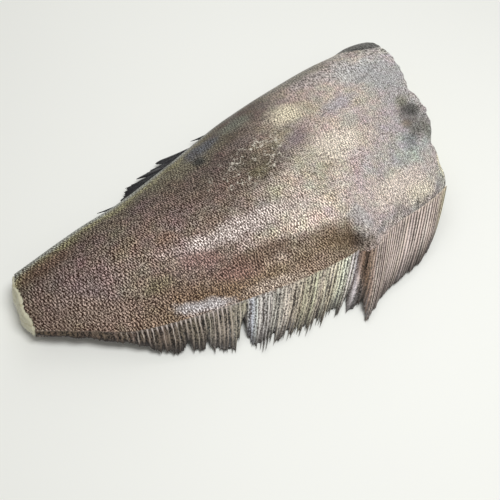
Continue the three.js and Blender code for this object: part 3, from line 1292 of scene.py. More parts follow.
@dataclass(frozen=True)
class FinFinish:
    """Wet rayed fin: streaks along the rays over a tone that changes along the fish, darker at the rim."""

    effects: SharedEffects
    name: str
    tones: tuple[Tone, ...]
    rim_dark: Colour
    body_tones: tuple[Tone, ...] = ()
    line_share: float = 0.0
    low_rim: float = 0.0
    gloss: WetGloss = WetGloss(dry=0.5, wet=0.26, bump=0.9, depth=0.5, specular=0.2)
    coat: Fade = Fade(-0.1, 0.2, 0.0, 0.4)
    coat_roughness: float = 0.14
    loose: tuple[float, float] = (0.6, 2.5)
    waver: Waver = Waver(Noise(1.0, 3.0), 1.1)
    crowd: Fade = Fade(31.0, 45.0, 0.0, 9.0)
    draw: float = 0.45
    fine: Noise = Noise(3.0, 4.0, 0.7)
    calm: Noise = Noise(2.0, 1.0)
    grain: Noise = Noise(0.9, 2.0, 0.6)
    line_wander: Fade = Fade(40.0, 60.0, 0.7, 0.2)
    ridge_light: Fade = Fade(40.0, 60.0, 0.06, 0.12)
    broad: Waver = Waver(Noise(0.8), 0.4)
    grain_light: Fade = Fade(44.0, 60.0, 0.8, 0.4)
    streak: Fade = Fade(0.34, 0.68, 0.06, 2.9)
    hue_rate: float = 0.5
    hue_depth: float = 0.16
    tone_shift: Fade = Fade(20.0, 32.0, 0.0, 5.0)
    tone_shift_reach: Fade = Fade(0.0, 1.0)
    web_dark: Colour = (0.135, 0.095, 0.075)
    web_rough: Fade = Fade(30.0, 60.0, 3.0, 1.8)
    web_line: Fade = Fade(-0.95, -0.45, 0.75, 0.0)
    web_along: tuple[Fade, ...] = (Fade(20.0, 50.0, 0.6, 0.85), Fade(-60.0, -48.0))
    line_pale: Colour = (0.72, 0.64, 0.57)
    line_rough: float = 0.8
    line_edge: Fade = Fade(0.75, 1.05)
    line_along: tuple[Fade, ...] = (Fade(-70.0, -35.0, 1.0, 0.15), Fade(-142.0, -128.0))
    line_reach: Fade = Fade(0.0, 0.8, 1.0, 0.5)
    line_draw: float = 1.5
    line_noise: Noise = Noise(0.9)
    line_own: Fade = Fade(0.35, 0.6, 0.25, 1.0)
    body_ragged: float = 1.3
    body_grain: Fade = Fade(-0.2, 0.2, 0.2, 1.8)
    body_reach: Fade = Fade(-0.8, 0.05, 1.0, 0.0)
    # Pale beads at the ray roots: partly the rays' pale starts, partly painted highlights.
    bead_pale: Colour = (0.62, 0.54, 0.5)
    bead_edge: Fade = Fade(0.3, 0.9)
    bead_reach: tuple[Fade, ...] = (Fade(-0.7, -0.2), Fade(0.02, 0.16, 1.0, 0.0))
    bead_along: tuple[Fade, ...] = (Fade(-128.0, -116.0), Fade(-70.0, -58.0, 1.0, 0.0))
    rim_ragged: float = 0.7
    rim_edge: Fade = Fade(0.5, 1.05, 0.0, 0.9)
    low_rim_along: tuple[Fade, ...] = (Fade(40.0, 50.0), Fade(70.0, 100.0, 1.0, 0.0))

    @classmethod
    def spread(cls, effects: SharedEffects) -> "FinFinish":
        """Finish of the spread anal fin: dark at the tail, partly painted shadow under the body there, pale
        grey in the middle, brown under the belly.

        Args:
            effects: Shared node groups.

        Returns:
            The finish.
        """
        tones = (
            # Dark tail end: the fin's own dark colour and painted shadow under the body.
            Tone(-181.0, (0.06, 0.043, 0.03)),
            Tone(-110.0, (0.07, 0.054, 0.042)),
            Tone(-80.0, (0.1, 0.085, 0.066)),
            Tone(-66.0, (0.145, 0.128, 0.1)),
            Tone(-52.0, (0.2, 0.178, 0.14)),
            Tone(-49.0, (0.3, 0.305, 0.33)),
            Tone(-41.0, (0.3, 0.29, 0.275)),
            Tone(-10.0, (0.3, 0.27, 0.21)),
            Tone(20.0, (0.36, 0.335, 0.265)),
            Tone(29.0, (0.44, 0.43, 0.37)),
            Tone(36.0, (0.31, 0.295, 0.3)),
            # At the fold a dark brown strip: the fin's brown and painted shade on the step of the fold.
            Tone(39.0, (0.13, 0.085, 0.06)),
            Tone(45.0, (0.2, 0.145, 0.118)),
            Tone(49.0, (0.27, 0.225, 0.205)),
            Tone(54.0, (0.285, 0.235, 0.214)),
            Tone(117.0, (0.31, 0.262, 0.236)),
            Tone(123.0, (0.31, 0.275, 0.2)),
            Tone(127.5, (0.36, 0.33, 0.23)),
            Tone(129.5, (0.1, 0.09, 0.07)),
        )
        body_tones = (
            Tone(-181.0, (0.13, 0.095, 0.07)),
            Tone(-95.0, (0.2, 0.17, 0.15)),
            Tone(-60.0, (0.4, 0.37, 0.36)),
            Tone(-30.0, (0.26, 0.2, 0.16)),
            Tone(33.0, (0.16, 0.11, 0.07)),
            Tone(46.0, (0.42, 0.36, 0.34)),
            Tone(129.5, (0.58, 0.5, 0.4)),
        )
        rim_dark = (0.035, 0.03, 0.028)
        return cls(effects, "anal_fin_web", tones, rim_dark, body_tones, line_share=0.85, low_rim=-0.1)

    @classmethod
    def folded(cls, effects: SharedEffects) -> "FinFinish":
        """Finish of the folded dorsal fin, nearly black: a dark fin, partly painted shade of its side turned
        from the light.
        """
        tones = (Tone(-175.0, (0.02, 0.02, 0.022)), Tone(182.0, (0.025, 0.025, 0.027)))
        return cls(effects, "dorsal_fin_web", tones, rim_dark=(0.01, 0.01, 0.012))

    def material(self) -> bpy.types.Material:
        """Builds the material from the ray number, reach and root X that the fin carries.

        Returns:
            The fin material.
        """
        material, paint, shader = new_material(self.name)
        lie = self.lie(paint)
        colour = self.streaked(paint, lie)
        if self.line_share:
            colour = self.ray_lines(paint, self.web_lines(paint, colour, lie), lie)
        if self.body_tones:
            colour = self.body_skin(paint, colour, lie)
        if self.line_share:
            colour = self.beads(paint, colour, lie)
        colour = self.rim(paint, colour, lie)
        film = paint.group(self.effects.film, "Film", Place=paint.place)
        self.gloss.apply(paint, shader, colour, film, lie.fine)
        paint.feed(shader.inputs["Coat Weight"], paint.product(film, paint.fade(lie.reach, self.coat)))
        shader.inputs["Coat Roughness"].default_value = self.coat_roughness
        return material

    def lie(self, paint: Paint) -> FinLie:
        """Reads where each point lies on the fin, and draws the noise that the steps share.

        Args:
            paint: Painter of the material.

        Returns:
            The sockets.
        """
        read = paint.node("SeparateXYZ", {0: paint.reading("fin_lie", "Vector")}).outputs
        ray, reach, root_x = read["X"], read["Y"], read["Z"]
        loose = paint.pair(*(paint.product(part, rate) for part, rate in zip((ray, reach), self.loose)))
        waver = paint.swing(paint.noise(loose, self.waver.noise), self.waver.size)
        across = paint.total(ray, waver, paint.fade(root_x, self.crowd))
        drawn = paint.pair(across, paint.product(reach, self.draw))
        fine, calm = paint.noise(drawn, self.fine), paint.noise(drawn, self.calm)
        grain = paint.math("SUBTRACT", paint.noise(paint.place, self.grain), 0.5)
        lined = paint.total(ray, paint.product(waver, paint.fade(root_x, self.line_wander)))
        return FinLie(ray, reach, root_x, drawn, fine, calm, grain, paint.wave(lined))

    def streaked(self, paint: Paint, lie: FinLie) -> Socket:
        """Tone along the fish times streaks: fine and broad noise, ridges of the rays and a grain.

        Args:
            paint: Painter of the material.
            lie: Place on the fin.

        Returns:
            The colour's socket.
        """
        ridge = paint.product(paint.wave(lie.ray), paint.fade(lie.root_x, self.ridge_light))
        broad = paint.swing(paint.noise(lie.drawn, self.broad.noise), self.broad.size)
        grain = paint.product(lie.grain, paint.fade(lie.root_x, self.grain_light))
        streak = paint.fade(paint.total(lie.fine, ridge, broad, grain), self.streak)
        hue = paint.group(
            self.effects.hues, "Factor", Place=lie.drawn, Rate=self.hue_rate, Depth=self.hue_depth,
        )
        bend = paint.fade(lie.reach, self.tone_shift_reach)
        shift = paint.product(paint.fade(lie.root_x, self.tone_shift), bend)
        tone = paint.ramp(paint.math("SUBTRACT", lie.root_x, shift), self.tones)
        return paint.tint(paint.tint(tone, hue), streak)

    def web_lines(self, paint: Paint, colour: Socket, lie: FinLie) -> Socket:
        """Thin dark lines between rays, where the cosine of the ray number is lowest, broken by noise.

        Args:
            paint: Painter of the material.
            colour: Colour so far.
            lie: Place on the fin.

        Returns:
            The colour's socket.
        """
        broken = paint.total(lie.wave, paint.swing(lie.calm, paint.fade(lie.root_x, self.web_rough)))
        along = [paint.fade(lie.root_x, fade) for fade in self.web_along]
        share = paint.product(paint.fade(broken, self.web_line), *along, self.line_share)
        return paint.mix(share, colour, self.web_dark)

    def ray_lines(self, paint: Paint, colour: Socket, lie: FinLie) -> Socket:
        """A thin pale line on each ray, where the cosine of the ray number is near 1, broken by noise.

        Args:
            paint: Painter of the material.
            colour: Colour so far.
            lie: Place on the fin.

        Returns:
            The colour's socket.
        """
        broken = paint.total(lie.wave, paint.swing(lie.calm, self.line_rough))
        along = [paint.fade(lie.root_x, fade) for fade in self.line_along]
        out = paint.fade(lie.reach, self.line_reach)
        own = paint.noise(paint.pair(lie.ray, paint.product(lie.reach, self.line_draw)), self.line_noise)
        strength = paint.fade(own, self.line_own)
        share = paint.product(paint.fade(broken, self.line_edge), *along, out, strength, self.line_share)
        return paint.mix(share, colour, self.line_pale)

    def body_skin(self, paint: Paint, colour: Socket, lie: FinLie) -> Socket:
        """Grainy skin that runs down from the body over the roots of the rays, with a ragged end.

        Args:
            paint: Painter of the material.
            colour: Colour so far.
            lie: Place on the fin.

        Returns:
            The colour's socket.
        """
        ragged = paint.total(lie.reach, paint.swing(lie.fine, self.body_ragged))
        skin = paint.tint(paint.ramp(lie.root_x, self.body_tones), paint.fade(lie.grain, self.body_grain))
        return paint.mix(paint.fade(ragged, self.body_reach), colour, skin)

    def beads(self, paint: Paint, colour: Socket, lie: FinLie) -> Socket:
        """A pale bead at the root of each ray along a part of the fin, partly the ray's pale start and partly
        a painted highlight on it.

        Args:
            paint: Painter of the material.
            colour: Colour so far.
            lie: Place on the fin.

        Returns:
            The colour's socket.
        """
        shares = [paint.fade(paint.wave(lie.ray), self.bead_edge)]
        shares += [paint.fade(lie.reach, fade) for fade in self.bead_reach]
        shares += [paint.fade(lie.root_x, fade) for fade in self.bead_along]
        return paint.mix(paint.product(*shares, self.line_share), colour, self.bead_pale)

    def rim(self, paint: Paint, colour: Socket, lie: FinLie) -> Socket:
        """Dark rim with a ragged start, which comes later where the rim hangs low.

        Args:
            paint: Painter of the material.
            colour: Colour so far.
            lie: Place on the fin.

        Returns:
            The colour's socket.
        """
        reach = paint.total(lie.reach, paint.swing(lie.fine, self.rim_ragged))
        if self.low_rim:
            along = [paint.fade(lie.root_x, fade) for fade in self.low_rim_along]
            reach = paint.total(reach, paint.product(*along, self.low_rim))
        return paint.mix(paint.fade(reach, self.rim_edge), colour, self.rim_dark)


@dataclass(frozen=True)
class FleshFinish:
    """Moist cut flesh: yellowish white with the rings of the muscle flakes."""

    effects: SharedEffects
    pale: Colour = (0.58, 0.56, 0.41)
    ring: Colour = (0.45, 0.41, 0.24)
    sinew: Colour = (0.66, 0.63, 0.5)
    fibre: Noise = Noise(0.5, 4.0, 0.65)
    fibre_bend: float = 2.5
    seam: Fade = Fade(0.75, 1.0, 0.0, 0.6)
    sinew_share: Fade = Fade(0.4, 0.75, 0.0, 0.4)
    gloss: WetGloss = WetGloss(dry=0.5, wet=0.25, bump=0.6, depth=0.4)
    coat: Fade = Fade(0.1, 1.0, 0.1, 0.5)

    def material(self) -> bpy.types.Material:
        """Builds the material from the ring phase that the cut faces carry: a seam at each crest of its sine.

        Returns:
            The flesh material.
        """
        material, paint, shader = new_material("halibut_flesh")
        fibre = paint.noise(paint.place, self.fibre)
        phase = paint.total(paint.reading("flake"), paint.product(fibre, self.fibre_bend))
        seam = paint.fade(paint.math("SINE", phase), self.seam)
        colour = paint.mix(seam, self.pale, self.ring)
        colour = paint.mix(paint.fade(fibre, self.sinew_share), colour, self.sinew)
        film = paint.group(self.effects.film, "Film", Place=paint.place)
        self.gloss.apply(paint, shader, colour, film, paint.math("SUBTRACT", fibre, seam))
        paint.feed(shader.inputs["Coat Weight"], paint.fade(film, self.coat))
        return material


@dataclass
class Piece(ABC):
    """One dressed surface of the fish: its name, the record's slot that it shows and its finish."""

    name: str
    slot: Slot
    material: bpy.types.Material

    @abstractmethod
    def shell(self) -> Shell:
        """Builds the closed surface."""

    def make(self) -> bpy.types.Object:
        """Makes the object, gives it its finish and ties it to the frame.

        Returns:
            The finished piece.
        """
        made = self.shell().to_object(self.name)
        made.data.materials.append(self.material)
        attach(made, BODY)
        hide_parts(NODE)
        return made


@dataclass(frozen=True)
class Relief:
    """One layer of soft noise: the pitch of its lattice, its depth and the seed of its draws."""

    pitch: float
    depth: float
    seed: int

    def at(self, x: Array, y: Array, reseed: int = 0) -> Array:
        """Height of the layer at each place; another reseed gives another draw."""
        return self.depth * lattice_noise(x, y, self.pitch, self.seed + reseed)


@dataclass
class Hide(Piece):
    """The skin over the whole trunk, with muscle swells, ray roots and ragged edges at the cuts."""

    loop: BodyLoop
    rays: int = 100
    stations_per_ray: int = 4
    swells: tuple[Relief, ...] = (Relief(46.0, 0.7, 0), Relief(19.0, 0.35, 1), Relief(8.0, 0.12, 2))
    swell_shift: float = 400.0
    swell_rise: float = 10.0
    root_ridge: float = 0.3
    root_ridge_reach: float = 13.0
    notches: tuple[Relief, ...] = (Relief(3.3, 1.0, 11), Relief(1.4, 0.6, 21))
    notch_rows: tuple[float, ...] = (7.0, 3.0)
    ragged_depth: float = 1.7
    ragged_reach: float = 5.0
    scale_pitch: tuple[float, float] = (2.1, 1.5)
    under_fade: float = 8.0
    rim_share: float = 0.972
    rim_sink: float = 8.5
    cap_rings: tuple[float, ...] = (0.94, 0.75, 0.55, 0.35, 0.15)

    def shell(self) -> Shell:
        """Loops along the fish with relief, closed at each cut by rings that shrink to a pole.

        Returns:
            The closed skin.
        """
        station = np.linspace(0.0, 1.0, self.rays * self.stations_per_ray + 1)
        points = self.loop.points(station)
        points = self.ragged(points + self.relief(points, station))
        points = self.loop.form.leaned(points)
        tail, head = self.cap(points[0], Cut.TAIL), self.cap(points[-1], Cut.HEAD)
        rows = np.concatenate([tail[::-1], points, head])
        return Shell(*capped_rows(rows), self.readings(rows))

    def relief(self, points: Array, station: Array) -> Array:
        """Relief along the normal: sums of soft noise for muscle, and cosine ridges over the ray roots.

        Args:
            points: Loops.
            station: Their stations.

        Returns:
            Offsets in millimetres.
        """
        along = np.gradient(points, axis=0)
        across = np.roll(points, -1, axis=1) - np.roll(points, 1, axis=1)
        normal = np.cross(along, across)
        normal /= np.linalg.norm(normal, axis=-1, keepdims=True) + TINY
        x, y = points[..., 0] + self.swell_shift, points[..., 1] + self.swell_shift
        height = sum(layer.at(x, y) for layer in self.swells)
        share = self.loop.shares()
        width = np.ptp(points[..., 1], axis=1)[:, None]
        fade = np.clip(1.0 - share * width / self.root_ridge_reach, 0.0, 1.0)
        height += self.root_ridge * fade * np.cos(TURN * self.rays * station)[:, None]
        on_top = np.arange(self.loop.around) <= self.loop.upper_steps
        rim = np.clip(self.swell_rise * share * (1.0 - share), 0.0, 1.0)
        return normal * (height * on_top * rim)[..., None]

    def ragged(self, points: Array) -> Array:
        """Shifts the ends along X by noise round the loop, fading exponentially from the cut.

        Args:
            points: Loops.

        Returns:
            The shifted loops.
        """
        place = np.cumsum(np.linalg.norm(np.diff(points[0], axis=0, prepend=points[0][:1]), axis=1))
        for cut in Cut:
            layers = zip(self.notches, self.notch_rows)
            notch = sum(layer.at(place, row, cut.value) for layer, row in layers)
            end = points[-cut.value]
            fade = np.exp(-np.abs(points[..., 0] - end[:, 0]) / self.ragged_reach)
            points[..., 0] -= cut.outward * self.ragged_depth * np.abs(notch) * fade
        return points

    def cap(self, rim: Array, cut: Cut) -> Array:
        """Rings inside a cut: a narrow rim of skin, then a face sunk behind it.

        Args:
            rim: The loop at the cut.
            cut: Which cut.

        Returns:
            Rings from the outside in.
        """
        rings = self.loop.form.leaned(self.loop.face(cut, (self.rim_share, *self.cap_rings)))
        rings[0] = blend(rim.mean(axis=0), rim, self.rim_share)
        rings[0, :, 0] = rim[:, 0]
        rings[1:, :, 0] -= cut.outward * self.rim_sink
        return rings

    def readings(self, rows: Array) -> dict[str, Array]:
        """Values that the finish reads: scales counted along and across, the distance from each edge, and
        the underside. Scales get smaller at an even rate, so their count along X is a logarithm.

        Args:
            rows: Closed rows of points.

        Returns:
            Values by attribute name, the two poles last.
        """
        loop = self.loop
        steps = np.linalg.norm(np.diff(rows[..., 1:], axis=1, prepend=rows[:, :1, 1:]), axis=-1)
        across = np.cumsum(steps, axis=1)
        middle, dorsal = across[:, [loop.upper_steps // 2]], across[:, [loop.upper_steps]]
        (first, last), start = self.scale_pitch, loop.form.tail_cut[0]
        growth = (last - first) / (loop.form.head_cut[1] - start)
        pitch = first + growth * (rows[..., 0] - start)
        counts = [np.log(pitch / first) / growth, (across - middle) / pitch, np.zeros_like(across)]
        lie = np.stack(counts, axis=-1).reshape(-1, 3)
        under = np.zeros(loop.around)
        below = loop.upper_steps + loop.lip_steps // 2
        under[below:] = ease(0.0, self.under_fade, np.arange(loop.around - below))
        under[-loop.lip_steps // 2:] = 0.0
        plain = {
            Edge.ANAL.distance: across,
            Edge.DORSAL.distance: np.abs(dorsal - across),
            "underside": np.broadcast_to(under, across.shape),
        }
        poled = {name: np.append(value, (0.0, 0.0)) for name, value in plain.items()}
        return {"skin_lie": np.concatenate([lie, lie[:2]])} | poled


@dataclass
class CutFace(Piece):
    """Flesh at one cut: a plug inside the rim of skin, with a bulged, flaky face."""

    loop: BodyLoop
    cut: Cut
    rim_share: float = 0.968
    sink: float = 0.9
    depth: float = 5.5
    bulge: float = 0.9
    bulge_power: int = 4
    fibres: tuple[Relief, ...] = (Relief(3.1, 0.45, 31), Relief(1.3, 0.225, 32))
    fibre_shift: float = 300.0
    face_rings: int = 26
    face_shares: tuple[float, float] = (0.04, 1.0)
    back_rings: int = 3
    back_shares: tuple[float, float] = (0.8, 0.05)
    flake_pitch: float = 5.2
    flake_middle: tuple[float, float] = (0.5, 0.25)
    flake_flatness: float = 0.55

    def shell(self) -> Shell:
        """A face whose rings shrink from the rim to a pole, a wall, and a back that does the same.

        Returns:
            The closed plug.
        """
        face = np.linspace(*self.face_shares, self.face_rings)
        back = np.linspace(*self.back_shares, self.back_rings)
        reach = self.rim_share * np.concatenate([face, back])[:, None]
        points = self.loop.form.leaned(self.loop.face(self.cut, reach))
        y, z = points[..., 1] + self.fibre_shift, points[..., 2] + self.fibre_shift
        swell = self.bulge * (1.0 - reach**self.bulge_power) + sum(layer.at(y, z) for layer in self.fibres)
        behind = np.arange(len(reach))[:, None] >= self.face_rings
        points[..., 0] += self.cut.outward * np.where(behind, -self.depth, swell - self.sink)
        flat, faces = capped_rows(points[::-1] if self.cut is Cut.HEAD else points)
        return Shell(flat, faces, {"flake": self.flakes(flat)})

    def flakes(self, flat: Array) -> Array:
        """Ring phase of the muscle flakes: distance from the middle of each quarter of the section.

        Args:
            flat: All points.

        Returns:
            Phases in radians.
        """
        y, z = flat[:, 1], flat[:, 2]
        middle_y, middle_z = (y.max() + y.min()) / 2.0, (z.max() + z.min()) / 2.0
        off = np.abs(y - middle_y) - self.flake_middle[0] * np.ptp(y) / 2.0
        rise = np.abs(z - middle_z) - self.flake_middle[1] * np.ptp(z)
        return TURN * np.hypot(self.flake_flatness * off, rise) / self.flake_pitch


@dataclass(frozen=True)
class Tear:
    """One split in a fin: where it starts along the root, its half-width, and the share of ray left."""

    x: float
    half: float
    left: float


@dataclass
class RayFin(Piece):
    """A fin of many rays: a thin closed sheet that leaves the body flush and ends in fine points.

    The overlap is how far up the body the sheet starts, the web how far it falls short between two tips,
    as a share of the ray, the fray how uneven the rim is. Clumps are groups of wet rays that stick together.
    """

    form: TrunkForm
    edge: Edge
    length: Run
    sweep: Run
    overlap: Run
    web: Run
    tears: tuple[Tear, ...]
    seed: int
    body_slope: float | None = None
    clump_rays: tuple[float, float] = (2.0, 5.0)
    clump_pull: float = 0.12
    clump_point: float = 0.1
    clump_power: float = 1.4
    rays: int = 100
    samples_per_ray: int = 10
    inner_steps: int = 9
    outer_steps: int = 28
    root_thick: float = 3.2
    inner_thick: float = 0.5
    rim_thick: float = 0.5
    thin_power: float = 0.7
    ray_height: float = 0.42
    ray_spread: tuple[float, float] = (0.2, 1.3)
    ray_power: float = 0.8
    fork_height: float = 0.8
    fork_power: float = 1.5
    fork_span: tuple[float, float] = (0.4, 0.8)
    rib_height: float = 0.22
    ribs_per_ray: float = 3.0
    ridge_span: tuple[float, float] = (-0.9, 0.1)
    ridge_loss: float = 0.5
    short_ray: float = 6.0
    ragged: float = 0.1
    notch_power: float = 0.6
    half_notch: float = 0.35
    notch_spread: float = 0.6
    fray: Run = Run(((-190, 1), (190, 1)))
    tip_bend: float = 0.1
    foot_rounding: float = 1.8
    tuck: float = -1.2
    tuck_end: float = -0.2
    lift: float = 0.35
    rim_height: float = 1.3
    fall_power: float = 1.3
    wave_height: float = 1.3
    wave_rays: float = 2.5
    wave_rate: float = 1.5
    wave_shift: float = 50.0
    wave_length: float = 20.0
    floor_gap: float = 0.12

    def clump_bounds(self) -> Array:
        """Ray numbers where one clump ends and the next begins, drawn by the seed.

        Returns:
            The bounds, with both ends of the fin.
        """
        draws = np.random.default_rng(self.seed).uniform(*self.clump_rays, self.rays)
        inner = np.floor(np.cumsum(draws)) + 0.5
        inner = inner[inner < self.rays - 1]
        return np.concatenate([[0.0], inner, [self.rays]])

    def ray_share(self, ray: Array, root_x: Array, off_middle: Array) -> Array:
        """Share of full length at each sample: ragged rays with short points between them, drawn to a point
        in each clump, less the tears, each a bell-shaped notch.

        Args:
            ray: Ray numbers, whole on a ray and half between two.
            root_x: X of the roots.
            off_middle: Place in the clump, from -1 to 1.

        Returns:
            Shares of the full length.
        """
        halves = 2 * self.rays + 1
        draws = np.random.default_rng(self.seed + 1).uniform(-1.0, 1.0, (2, halves))
        uneven, depth = (np.interp(2.0 * ray, np.arange(halves), row) for row in draws)
        fray = self.fray.at(root_x)
        whole, half = (np.abs(np.sin(np.pi * count * ray)) ** self.notch_power for count in (1.0, 2.0))
        notch = self.web.at(root_x) * (1.0 + self.notch_spread * depth) * blend(whole, half, self.half_notch)
        share = (1.0 + fray * self.ragged * uneven) * (1.0 - fray * notch)
        share = share * (1.0 - fray * self.clump_point * np.abs(off_middle) ** self.clump_power)
        for tear in self.tears:
            share = share * (1.0 - (1.0 - tear.left) * np.exp(-(((root_x - tear.x) / tear.half) ** 2)))
        return share

    def shell(self) -> Shell:
        """Rows across the fin at each ray sample: out on the upper face and back on the under face.

        Returns:
            The closed fin.
        """
        ray = np.linspace(0.0, self.rays, self.rays * self.samples_per_ray + 1)
        inner = np.linspace(-1.0, 0.0, self.inner_steps + 1)[:-1]
        step = np.concatenate([inner, np.linspace(0.0, 1.0, self.outer_steps + 1)])
        upper = self.upper_sheet(ray, step)
        under = upper.copy()
        thick = blend(self.root_thick, self.rim_thick, np.clip(step, 0.0, 1.0) ** self.thin_power)
        thick = thick * blend(self.inner_thick, 1.0, ease(-1.0, 0.0, step))
        under[..., 2] = np.maximum(upper[..., 2] - thick, self.floor_gap)
        upper[..., 2] = np.maximum(upper[..., 2], under[..., 2] + self.rim_thick)
        root_x = self.form.root(ray / self.rays, self.edge)[:, :1]
        lie = np.stack(np.broadcast_arrays(ray[:, None], step[None, :], root_x), axis=-1)
        loops, values = self.looped(upper, under), self.looped(lie, lie)
        rows, around = loops.shape[:2]
        faces = [band_faces(rows, around), self.end_faces(rows, around)]
        return Shell(loops.reshape(-1, 3), faces, {"fin_lie": values.reshape(-1, 3)})

    def looped(self, top: Array, low: Array) -> Array:
        """Joins the two faces into closed rows that run over the top from -Y to +Y and back below."""
        faces = (top[:, ::-1], low) if self.edge is Edge.ANAL else (top, low[:, ::-1])
        return np.concatenate(faces, axis=1)

    def upper_sheet(self, ray: Array, step: Array) -> Array:
        """Upper face: up the flank it follows the flank's slope, then a rounded foot leads into the swept
        rays, which sink in a power curve to the rim; rays stand proud and wet clumps lean together.

        Args:
            ray: Ray numbers.
            step: Places from -1, up the body, over 0, the root, to 1, the rim.

        Returns:
            Points in millimetres, as rays by steps by 3.
        """
        section = self.form.section(ray / self.rays)
        root = self.form.root(ray / self.rays, self.edge)
        root_x = root[:, 0]
        bounds = self.clump_bounds()
        place = np.clip(np.searchsorted(bounds, ray, side="right") - 1, 0, len(bounds) - 2)
        start, end = bounds[place], bounds[place + 1]
        middle, half = (start + end) / 2.0, (end - start) / 2.0
        share = self.ray_share(ray, root_x, (ray - middle) / half)
        reach = np.clip(step, 0.0, 1.0)[None, :]
        length = (self.length.at(root_x) * share)[:, None]
        run = np.where(step < 0.0, step * self.overlap.at(root_x)[:, None], reach * length)
        sweep = np.radians(self.sweep.at(root_x))[:, None]
        out = run * np.cos(sweep)
        lean = self.clump_pull * ((middle - ray) * np.gradient(root_x, ray))[:, None] * reach**2
        x = root[:, :1] - run * np.sin(sweep) - self.tip_bend * length * reach**3 + lean
        y = root[:, 1:2] + self.edge.value * out
        rim_top = root[:, 2:] + self.form.root_thick / 2.0
        slope = section.steepness[:, None] if self.body_slope is None else self.body_slope
        flank = rim_top - slope * out + self.form.swell(x, y, -out)
        sheet = blend(rim_top, self.rim_height, 1.0 - (1.0 - reach) ** self.fall_power)
        z = -rounded_minimum(-flank, -sheet, self.foot_rounding)
        z = z + blend(self.tuck, self.lift, ease(-1.0, self.tuck_end, step))
        z = z + self.ridges(ray, step) * ease(0.0, self.short_ray, length)
        across = ray[:, None] / self.wave_rays + self.wave_shift
        wave = lattice_noise(across, self.wave_rate * reach, 1.0, self.seed + 2)
        z = z + self.wave_height * wave * reach * np.minimum(1.0, length / self.wave_length)
        return np.stack(np.broadcast_arrays(x, y, z), axis=-1)

    def ridges(self, ray: Array, step: Array) -> Array:
        """Rays as rounded cosine ridges that fork halfway out, each of its own height, with ribs between.

        Args:
            ray: Ray numbers.
            step: Places from the body to the rim.

        Returns:
            Heights in millimetres, as rays by steps.
        """
        draws = np.random.default_rng(self.seed + 3).uniform(*self.ray_spread, self.rays + 1)
        height = self.ray_height * np.interp(ray, np.arange(self.rays + 1), draws)[:, None]
        single = (np.clip(np.cos(TURN * ray), 0.0, 1.0) ** self.ray_power)[:, None]
        forked = self.fork_height * (np.abs(np.sin(TURN * ray)) ** self.fork_power)[:, None]
        ribs = self.rib_height * np.cos(TURN * self.ribs_per_ray * ray)[:, None]
        fade = ease(*self.ridge_span, step) * (1.0 - self.ridge_loss * np.clip(step, 0.0, 1.0))
        return height * fade * (blend(single, forked, ease(*self.fork_span, step)) + ribs)

    def end_faces(self, rows: int, around: int) -> Array:
        """Ladders of quads that close the first and the last row.

        Args:
            rows: Number of rows.
            around: Points in a row.

        Returns:
            Corner numbers, four to a quad.
        """
        step = np.arange(around // 2 - 1)
        below = around - 1 - step
        first = np.stack([step, step + 1, below - 1, below], axis=-1)
        last = (rows - 1) * around + np.stack([step + 1, step, below, below - 1], axis=-1)
        return np.concatenate([first, last])


def anal_fin(form: TrunkForm, material: bpy.types.Material) -> RayFin:
    """The fin along the near edge, spread flat, with the tears that the photograph shows.

    Args:
        form: The body.
        material: The fin's finish.

    Returns:
        The fin.
    """
    return RayFin(
        name="anal_fin",
        slot=Slot.FIN,
        material=material,
        form=form,
        edge=Edge.ANAL,
        length=Run((
            (-181, 1.5), (-150, 3.5), (-127, 6.5), (-110, 14.5), (-84, 21), (-52, 30),
            (-12, 38), (30, 42), (40, 45), (56, 53), (66, 51), (100, 47), (129.5, 41),
        )),
        sweep=Run((
            (-181, 10), (-130, 14), (-100, 17), (-84, 21), (-52, 32), (-12, 44),
            (30, 48), (42, 48), (54, 44), (75, 47), (129.5, 49),
        )),
        overlap=Run((
            (-181, 1.5), (-100, 4), (-12, 6), (33, 5), (44, 11),
            (62, 9), (76, 5), (90, 5), (112, 9), (129.5, 3),
        )),
        web=Run(((-181, 0.1), (-100, 0.1), (-50, 0.13), (20, 0.14), (45, 0.1), (129.5, 0.05))),
        tears=(
            Tear(-94.5, 2.4, 0.55), Tear(-80.5, 2.4, 0.66), Tear(-53.3, 4.0, 0.3),
            Tear(36.8, 2.0, 0.74), Tear(44.2, 3.2, 0.72),
        ),
        fray=Run(((-181, 1), (40, 1), (62, 0.35), (129.5, 0.2))),
        seed=4,
    )


def dorsal_fin(form: TrunkForm, material: bpy.types.Material) -> RayFin:
    """The fin along the far edge, folded back along the body in pointed blades.

    Args:
        form: The body.
        material: The fin's finish.

    Returns:
        The fin.
    """
    return RayFin(
        name="dorsal_fin",
        slot=Slot.FIN,
        material=material,
        form=form,
        edge=Edge.DORSAL,
        length=Run((
            (-175, 0.4), (-150, 4), (-135, 10), (-97, 20), (-80, 14), (-73, 12), (-70, 29),
            (-67, 12), (-62, 14), (-57, 21), (-46, 26), (-35, 33), (-27, 29), (-23.5, 27),
            (-20, 36), (-12, 33), (-5, 29), (2.5, 37), (5, 18), (8, 9), (20, 10),
            (24, 19), (28, 28), (30.5, 10), (60, 9), (182, 4),
        )),
        sweep=Run(((-175, 74), (-97, 76), (80, 76), (182, 62))),
        overlap=Run(((-175, 3), (182, 3))),
        web=Run(((-175, 0.04), (182, 0.04))),
        tears=(),
        seed=9,
        body_slope=2.0,
        ragged=0.04,
        clump_point=0.03,
        rim_height=6.0,
        lift=-0.4,
        samples_per_ray=7,
        outer_steps=30,
    )


@dataclass(frozen=True)
class Lamp:
    """A square soft light that looks at the fish: place and side in millimetres, power in watts."""

    name: str
    place: tuple[float, float, float]
    side: float
    power: float

    def make(self) -> None:
        """Adds the light to the scene."""
        lamp = bpy.data.lights.new(self.name, "AREA")
        lamp.size = self.side * MM
        lamp.energy = self.power
        made = bpy.data.objects.new(self.name, lamp)
        made.location = Vector(self.place) * MM
        made.rotation_euler = made.location.to_track_quat("Z", "Y").to_euler()
        bpy.context.scene.collection.objects.link(made)


